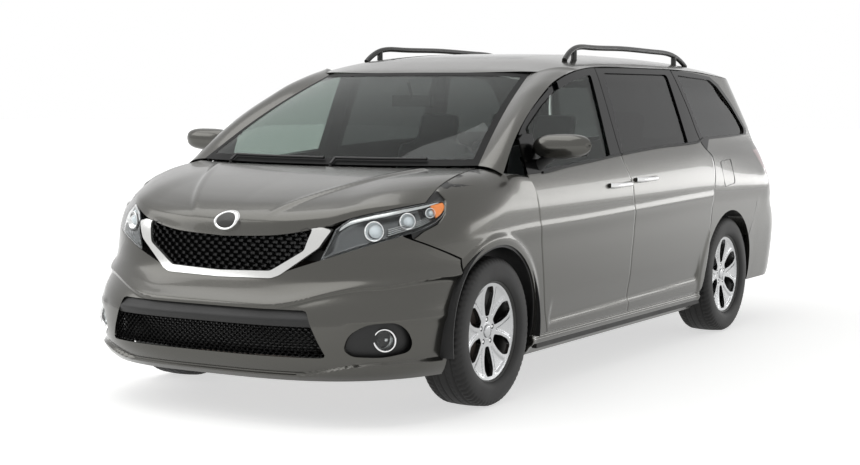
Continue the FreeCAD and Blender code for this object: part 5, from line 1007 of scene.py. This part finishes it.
trimmed(made, None, tools, 35)
face_mesh = made.data
normals, centres = rows_of(face_mesh.polygons, "normal"), rows_of(face_mesh.polygons, "center")
radius = np.hypot(centres[:, 1], centres[:, 2])
dark = (np.abs(normals[:, 0]) < 0.6) & (radius > 0.03) | (normals[:, 0] < -0.3)
face_mesh.polygons.foreach_set("material_index", dark.astype(int))
barrel_rows = [(-0.096, 0.230), (-0.0965, 0.2395), (-0.090, 0.2405), (-0.080, 0.224), (0.0, 0.213), (0.060, 0.219),
               (0.082, 0.2385), (0.094, 0.2408), (0.0975, 0.2385), (0.0965, 0.2345), (0.088, 0.2300), (0.062, 0.212),
               (0.0, 0.206), (-0.08, 0.214)]
cap_rows = [(0.055, 0.030), (0.0725, 0.0305), (0.0745, 0.028), (0.0760, 0.020), (0.0766, 0.0)]
barrel_mesh = sheet_of("barrel_master", revolve(barrel_rows, 160), machined, around_rows=True,
                       around_columns=True).data
cap_mesh = sheet_of("cap_master", revolve(cap_rows, 64), pocket_grey, around_columns=True).data
nut_rows = revolve([(0.045, 0.0095), (0.062, 0.0095), (0.0655, 0.007), (0.0655, 0.0)], 6)
nuts = np.concatenate([nut_rows[None] + np.array([0, *spot]) for spot in nut_spots])
nut_faces = np.concatenate([grid_faces(4, 6, False, True) + 24 * k for k in range(NUTS)])
nut_mesh = new_piece("nut_master", nuts, nut_faces, chrome, smooth=False).data

# The tyre: its section has flat beads, a bulged wall and a round shoulder, with grooves pressed into the tread.
wall_x = curve([(0, 98), (150, 111), (300, 117), (450, 117.3), (600, 114.5), (720, 110.5), (800, 105), (1000, 88)])
wall_r = curve([(0, 238.5), (150, 252), (300, 274), (450, 297), (600, 318), (720, 332), (800, 341), (1000, 351.2)])
side_s = np.linspace(0, 1, 13)
TREAD_HALF, TYRE_RADIUS, TYRE_TURNS, TREAD_BLOCKS = 0.088, 0.3558, 288, 72
tread_x = np.linspace(TREAD_HALF, -TREAD_HALF, 49)[1:-1]
tread_r = TYRE_RADIUS - 0.0046 * (tread_x / TREAD_HALF) ** 2
profile = np.concatenate([
    np.stack([wall_x(side_s), wall_r(side_s)], -1), np.stack([tread_x, tread_r], -1),
    np.stack([-wall_x(side_s), wall_r(side_s)], -1)[::-1]])
grid = revolve(profile, TYRE_TURNS)
x, r = (np.broadcast_to(profile[:, k, None], (len(profile), TYRE_TURNS)) for k in (0, 1))
turn = np.linspace(0, 2 * np.pi, TYRE_TURNS, endpoint=False)[None]
groove = np.zeros_like(x)
for at in (-0.058, -0.020, 0.020, 0.058):
    groove = np.maximum(groove, smooth_step((0.0052 - np.abs(x - at)) / 0.0022) * (r > 0.34))
slant = (turn * TREAD_BLOCKS / (2 * np.pi) + 9.0 * np.abs(x)) % 1.0
outer = smooth_step((np.abs(x) - 0.062) / 0.003) * (r > 0.334)
groove = np.maximum(groove, outer * smooth_step((0.16 - np.abs(slant - 0.5)) / 0.09) * 0.85)
slit = (turn * TREAD_BLOCKS / (2 * np.pi) + 14.0 * x) % 1.0
inner = smooth_step((0.052 - np.abs(x)) / 0.003) * smooth_step((np.abs(x) - 0.027) / 0.003) * (r > 0.34)
groove = np.maximum(groove, inner * smooth_step((0.07 - np.abs(slit - 0.5)) / 0.05) * 0.5)
rim_line = 0.0012 * np.exp(-((r - 0.262) / 0.0022) ** 2) + 0.0010 * np.exp(-((r - 0.322) / 0.0016) ** 2)
shrink = (r - 0.0075 * groove) / r
grid[..., 1:] *= shrink[..., None]
grid[..., 0] += np.sign(x) * rim_line * (r < 0.335)
tyre_mesh = sheet_of("tyre_master", grid, rubber, around_columns=True, around_rows=True).data
for name in ("wheel_master", "barrel_master", "cap_master", "nut_master", "tyre_master"):
    bpy.data.objects.remove(bpy.data.objects[name])
for corner_name, sign, axle in (("front_left", 1, FRONT_AXLE), ("front_right", -1, FRONT_AXLE),
                                ("rear_left", 1, REAR_AXLE), ("rear_right", -1, REAR_AXLE)):
    end, side = corner_name.split("_")
    body, centre = "%s_wheel_%s" % (end, side), (sign * TRACK / 2, axle, HUB)
    placed(tyre_mesh, "tyre_skin_" + corner_name, [rubber], body, centre, sign, "tyre_" + corner_name)
    placed(face_mesh, "wheel_face_" + corner_name, [machined, pocket_grey], body, centre, sign,
           "rim_" + corner_name)
    for mesh, name, look in ((barrel_mesh, "wheel_barrel_", pocket_grey), (cap_mesh, "wheel_cap_", machined),
                             (nut_mesh, "wheel_nuts_", chrome)):
        placed(mesh, name + corner_name, [look], body, centre, sign)

# Outside mirrors: a rounded cap whose rear is cut off flat, its glass and its black foot.
for sign, side in SIDES:
    mirror = np.array([sign, 1.0, 1.0])
    t = np.linspace(0, 1, 40)[:, None]
    a = np.linspace(0, 2 * np.pi, 48, endpoint=False)[None]
    swell = (1 - np.abs(2 * t - 0.96) ** 3.4 * 0.9).clip(0.02, 1) ** 0.5
    c, s = np.cos(a), np.sin(a)
    y = -1.100 + 0.060 * swell * np.sign(c) * np.abs(c) ** 0.8
    y = np.where(c > 0, np.minimum(y, -1.052), y)
    z = 1.214 + 0.010 * t + (0.064 - 0.008 * t) * swell * np.sign(s) * np.abs(s) ** 0.85
    x = 0.934 + 0.292 * t + 0 * a
    x = x + 0.012 * (1 - np.abs(c))
    grid = np.stack(np.broadcast_arrays(x, y, z), -1)
    ends = [end * [1, 0, 0] + end.mean(1, keepdims=True) * [0, 1, 1] for end in (grid[:1], grid[-1:])]
    grid = np.concatenate([ends[0], grid, ends[1]], 0)
    cap = sheet_of("mirror_cap_" + side, grid * mirror, paint, "front_door_" + side, around_columns=True,
                   flip=sign < 0)
    cap.data.materials.append(satin_black)
    centres = rows_of(cap.data.polygons, "center")
    under_or_behind = (centres[:, 2] < 1.164) | (centres[:, 1] > -1.0525)
    cap.data.polygons.foreach_set("material_index", under_or_behind.astype(int))
    cap.data.set_sharp_from_angle(angle=math.radians(48))
    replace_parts(cap, "mirror_" + side)
    gx, gz = np.meshgrid(np.linspace(-1, 1, 24), np.linspace(-1, 1, 16))
    round_off = (1 - np.abs(gx) ** 6) ** 0.25
    grid = np.stack([1.080 + 0.128 * gx, -1.0515 + 0 * gx, 1.219 + 0.052 * gz * round_off], -1)
    sheet_of("mirror_glass_" + side, grid * mirror, mirror_silver, "front_door_" + side, flip=sign > 0)
    tube("mirror_foot_" + side, np.array([(0.935, -1.086, 1.118), (0.965, -1.088, 1.135), (1.0, -1.092, 1.158),
         (1.03, -1.096, 1.178)]) * mirror, np.array([0.030, 0.027, 0.025, 0.024]), satin_black, "front_door_" + side)

# Handles, belt strips, sill skirts, the fuel flap's outline as a dark bead of painted shade, and the windshield's black
# border.
SILL_LOW, SILL_TOP = 0.188, 0.281
for sign, side in SIDES:
    mirror = np.array([sign, 1.0, 1.0])
    for name, y0, y1, z, body in (("front", -0.320, -0.072, 0.989, "front_door_" + side),
                                  ("sliding", 0.030, 0.278, 1.005, "body_shell")):
        y = np.linspace(y0, y1, 30)
        t = np.linspace(-1, 1, 30)
        out = 0.030 * (1 - np.abs(t) ** 5) + 0.004
        tube("%s_handle_%s" % (name, side), np.stack([flank(y, z) + out, y, z + 0 * y], -1) * mirror, 0.0125, chrome,
             body)
    for name, y0, y1, body in (("front", -1.07, -0.112, "front_door_" + side), ("sliding", -0.100, 1.13, "body_shell")):
        y = np.linspace(y0, y1, 90)
        z = belt_line(y) + 0.004
        tube("%s_belt_strip_%s" % (name, side), np.stack([flank(y, z) + 0.001, y, z], -1) * mirror, 0.0065, seal_rubber,
             body, around=10)
    u, v = np.meshgrid(np.linspace(-1.150, 1.030, 120), np.linspace(0, 1, 24))
    z = SILL_LOW + (SILL_TOP - SILL_LOW) * v
    out = 0.002 + 0.012 * (smooth_step((v - 0.35) / 0.2) - smooth_step((v - 0.75) / 0.2))
    grid = np.stack([flank(u, z) + out, u, z], -1)
    sheet_of("sill_skirt_" + side, folded(grid, 0.03, 0.004) * mirror, paint, "body_shell", flip=sign < 0)
# The fuel flap's gap is drawn as a thin dark bead in the seal's rubber finish, lying on the skin round the flap:
# painted shade of the gap.
flap = rounded(np.array([(1.340, 1.061), (1.529, 1.072), (1.527, 0.922), (1.351, 0.906)]), 0.022, 6)
flap = np.concatenate([flap, flap[:1]])
flap = np.stack([flank(flap[:, 0], flap[:, 1]) - 0.0004, flap[:, 0], flap[:, 1]], -1)
tube("fuel_flap_gap", flap, 0.0014, seal_rubber, "body_shell", around=6)
GLASS_BASE = run_of([(0, -1575, 1122), (300, -1566, 1123), (560, -1538, 1126), (740, -1502, 1129), (819, -1472, 1131)])
GLASS_HEAD = run_of([(0, -655, 1584), (300, -645, 1583), (520, -620, 1580), (630, -590, 1574)])


def glass_grid(u, v, out=0.0008):
    """The windshield's outer face, bowed by 26 mm and moved out along its slope."""
    low, high = GLASS_BASE(np.abs(u)), GLASS_HEAD(np.abs(u))
    bow = 0.026 * np.sin(np.pi * v)
    place = low + (high - low) * v[..., None]
    place[..., 0] *= np.sign(u)
    place[..., 1] += -0.45 * bow - 0.45 * out
    place[..., 2] += 0.9 * bow + 0.9 * out
    return place


for name, u0, u1, v0, v1 in (("low", -1, 1, 0.0, 0.055), ("high", -1, 1, 0.955, 1.0),
                             ("left", 0.955, 1, 0.0, 1.0), ("right", -1, -0.955, 0.0, 1.0)):
    u, v = np.meshgrid(np.linspace(u0, u1, 60), np.linspace(v0, v1, 40))
    sheet_of("windshield_border_" + name, glass_grid(u, v), frit, "body_shell", flip=True)

# Seats: each node's solids are joined, remeshed and relaxed, so that their edges are round as stuffed cloth's are.
for node_name in ("front_seats", "second_row_seats", "third_row_seat"):
    mesh = NODES[node_name].data.copy()
    merge(mesh)
    pad = linked(node_name + "_padded", mesh)
    remesh = pad.modifiers.new("remesh", "REMESH")
    remesh.mode, remesh.voxel_size, remesh.use_smooth_shade = "VOXEL", 0.024, True
    relax = pad.modifiers.new("relax", "SMOOTH")
    relax.factor, relax.iterations = 0.5, 14
    settled(pad, 70)
    dress(pad.data, cloth)
    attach(pad, "body_shell")
    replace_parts(pad, node_name)

# Rear: the lamps' lower third is clear, a bright bar over a bare plate recess, the wiper and the high brake lamp.
mesh = NODES["tail_lamps"].data.copy()
as_piece("tail_lamp_lenses", mesh, [red_lens, clear_red], "body_shell", "tail_lamps")
height = rows_of(mesh.polygons, "center")[:, 2]
split = height.min() + (height.max() - height.min()) * 0.34
mesh.polygons.foreach_set("material_index", (height < split).astype(int))


def tail_patch(low, high, half, rows, columns, out):
    """The tailgate's skin between two heights, out to a half width, moved straight back."""
    x, z = np.meshgrid(np.linspace(-half, half, columns), np.linspace(low, high, rows))
    return np.stack([x, tail_at(x, z) + out, z], -1)


for name, low, high, half, out, depth, look, slot in (
        ("plate_recess", 0.735, 0.865, 0.275, 0.0012, 0.001, satin_black, "black_trim"),
        ("plate_bar", 0.870, 0.905, 0.330, 0.008, 0.010, chrome, "bright_trim"),
        ("high_brake_lamp", 1.500, 1.516, 0.130, 0.003, 0.002, red_lens, "red_lens"),
        ("bumper_step_pad", 0.560, 0.590, 0.520, 0.0022, 0.002, satin_black, "black_trim")):
    body = "body_shell" if name == "bumper_step_pad" else "tailgate"
    wall(sheet_of(name, tail_patch(low, high, half, 10, 60, out), look, body), depth)
steps = np.linspace(0, 1, 24)
blade_x, blade_z = -0.05 + 0.40 * steps, 1.150 + 0.030 * steps
blade = np.stack([blade_x, tail_at(blade_x, blade_z) + 0.016, blade_z], -1)
arm_x, arm_out = blade_x * 0.5 - 0.02, 0.024 - 0.01 * steps
arm = np.stack([arm_x, tail_at(blade_x * 0.5, blade_z - 0.03) + arm_out, 1.118 + 0.052 * steps], -1)
tube("rear_wiper_blade", blade, 0.006, seal_rubber, "tailgate", around=10)
tube("rear_wiper_arm", arm, 0.008, satin_black, "tailgate", around=12)

drop_cutters()

# The studio: a plain pale floor, a softbox behind the vehicle's left side, one overhead and pale surroundings.
def shown_rays(tree):
    """One where a ray comes from the camera, from a glossy bounce or through glass, else nought."""
    path = add(tree, "ShaderNodeLightPath")
    two = add(tree, "ShaderNodeMath", {"operation": "MAXIMUM"}, {0: path.outputs["Is Camera Ray"],
                                                                 1: path.outputs["Is Glossy Ray"]})
    three = add(tree, "ShaderNodeMath", {"operation": "MAXIMUM"}, {0: two.outputs[0],
                                                                   1: path.outputs["Is Transmission Ray"]})
    return three.outputs[0]


floor_look = bpy.data.materials.new("pale_floor")
floor_look.use_nodes = True
tree = floor_look.node_tree
matt = tree.nodes["Principled BSDF"]
matt.inputs["Base Color"].default_value = shade("#d8d8d6")
matt.inputs["Roughness"].default_value = 0.7
seen = shown_rays(tree)
glow = add(tree, "ShaderNodeEmission")
spot = add(tree, "ShaderNodeTexCoord")
far = add(tree, "ShaderNodeVectorMath", {"operation": "LENGTH"}, {0: spot.outputs["Object"]})
ramp = add(tree, "ShaderNodeMapRange", {"From Min": 3.0, "From Max": 9.0, "To Min": 0.62, "To Max": 1.0},
           {"Value": far.outputs["Value"]})
tree.links.new(ramp.outputs["Result"], glow.inputs["Strength"])
both = add(tree, "ShaderNodeAddShader", None, {0: matt.outputs[0], 1: glow.outputs[0]})
choose = add(tree, "ShaderNodeMixShader", None, {0: seen, 1: matt.outputs[0], 2: both.outputs[0]})
tree.links.new(choose.outputs[0], tree.nodes["Material Output"].inputs["Surface"])
floor = linked("studio_floor", bpy.data.meshes.new("studio_floor"))
floor.data.from_pydata([(-60, -60, 0), (60, -60, 0), (60, 60, 0), (-60, 60, 0)], [], [(0, 1, 2, 3)])
floor.data.materials.append(floor_look)


def softbox(name, place, aim, width, height, power):
    """A rectangular area lamp that faces a point."""
    lamp = bpy.data.lights.new(name, "AREA")
    lamp.shape, lamp.size, lamp.size_y, lamp.energy = "RECTANGLE", width, height, power
    holder = linked(name, lamp)
    holder.location = place
    holder.rotation_euler = (Vector(aim) - Vector(place)).to_track_quat("-Z", "Y").to_euler()


softbox("side_softbox", (7.5, 11.5, 1.8), (0, 0, 0.9), 14, 1.2, 190)
softbox("overhead_softbox", (-1.5, -2.0, 7.0), (0, 0, 0.5), 7, 7, 260)
softbox("front_right_softbox", (-7.0, -6.0, 5.5), (0, -1.5, 0.5), 5, 4, 130)
world = bpy.data.worlds.new("studio")
bpy.context.scene.world = world
world.use_nodes = True
tree = world.node_tree
back = tree.nodes["Background"]
back.inputs["Color"].default_value = shade("#ffffff")
back.inputs["Strength"].default_value = 1.0
dim = add(tree, "ShaderNodeBackground", {"Color": shade("#e9eaea"), "Strength": 0.36})
choose = add(tree, "ShaderNodeMixShader", None, {0: shown_rays(tree), 1: dim.outputs[0], 2: back.outputs[0]})
tree.links.new(choose.outputs[0], tree.nodes["World Output"].inputs["Surface"])

camera = linked("camera", bpy.data.cameras.new("camera"))
camera.data.lens, camera.data.sensor_width, camera.data.sensor_fit = 71.24, 36.0, "HORIZONTAL"
camera.location = (4.757, -8.559, 1.476)
azimuth, elevation, roll = math.radians(30.670), math.radians(4.690), math.radians(0.140)
level = math.cos(elevation)
look = Vector((-math.sin(azimuth) * level, math.cos(azimuth) * level, -math.sin(elevation)))
camera.rotation_mode = "QUATERNION"
camera.rotation_quaternion = look.to_track_quat("-Z", "Y") @ Matrix.Rotation(roll, 3, "Z").to_quaternion()
bpy.context.scene.camera = camera
bpy.context.scene.view_settings.view_transform = "Standard"
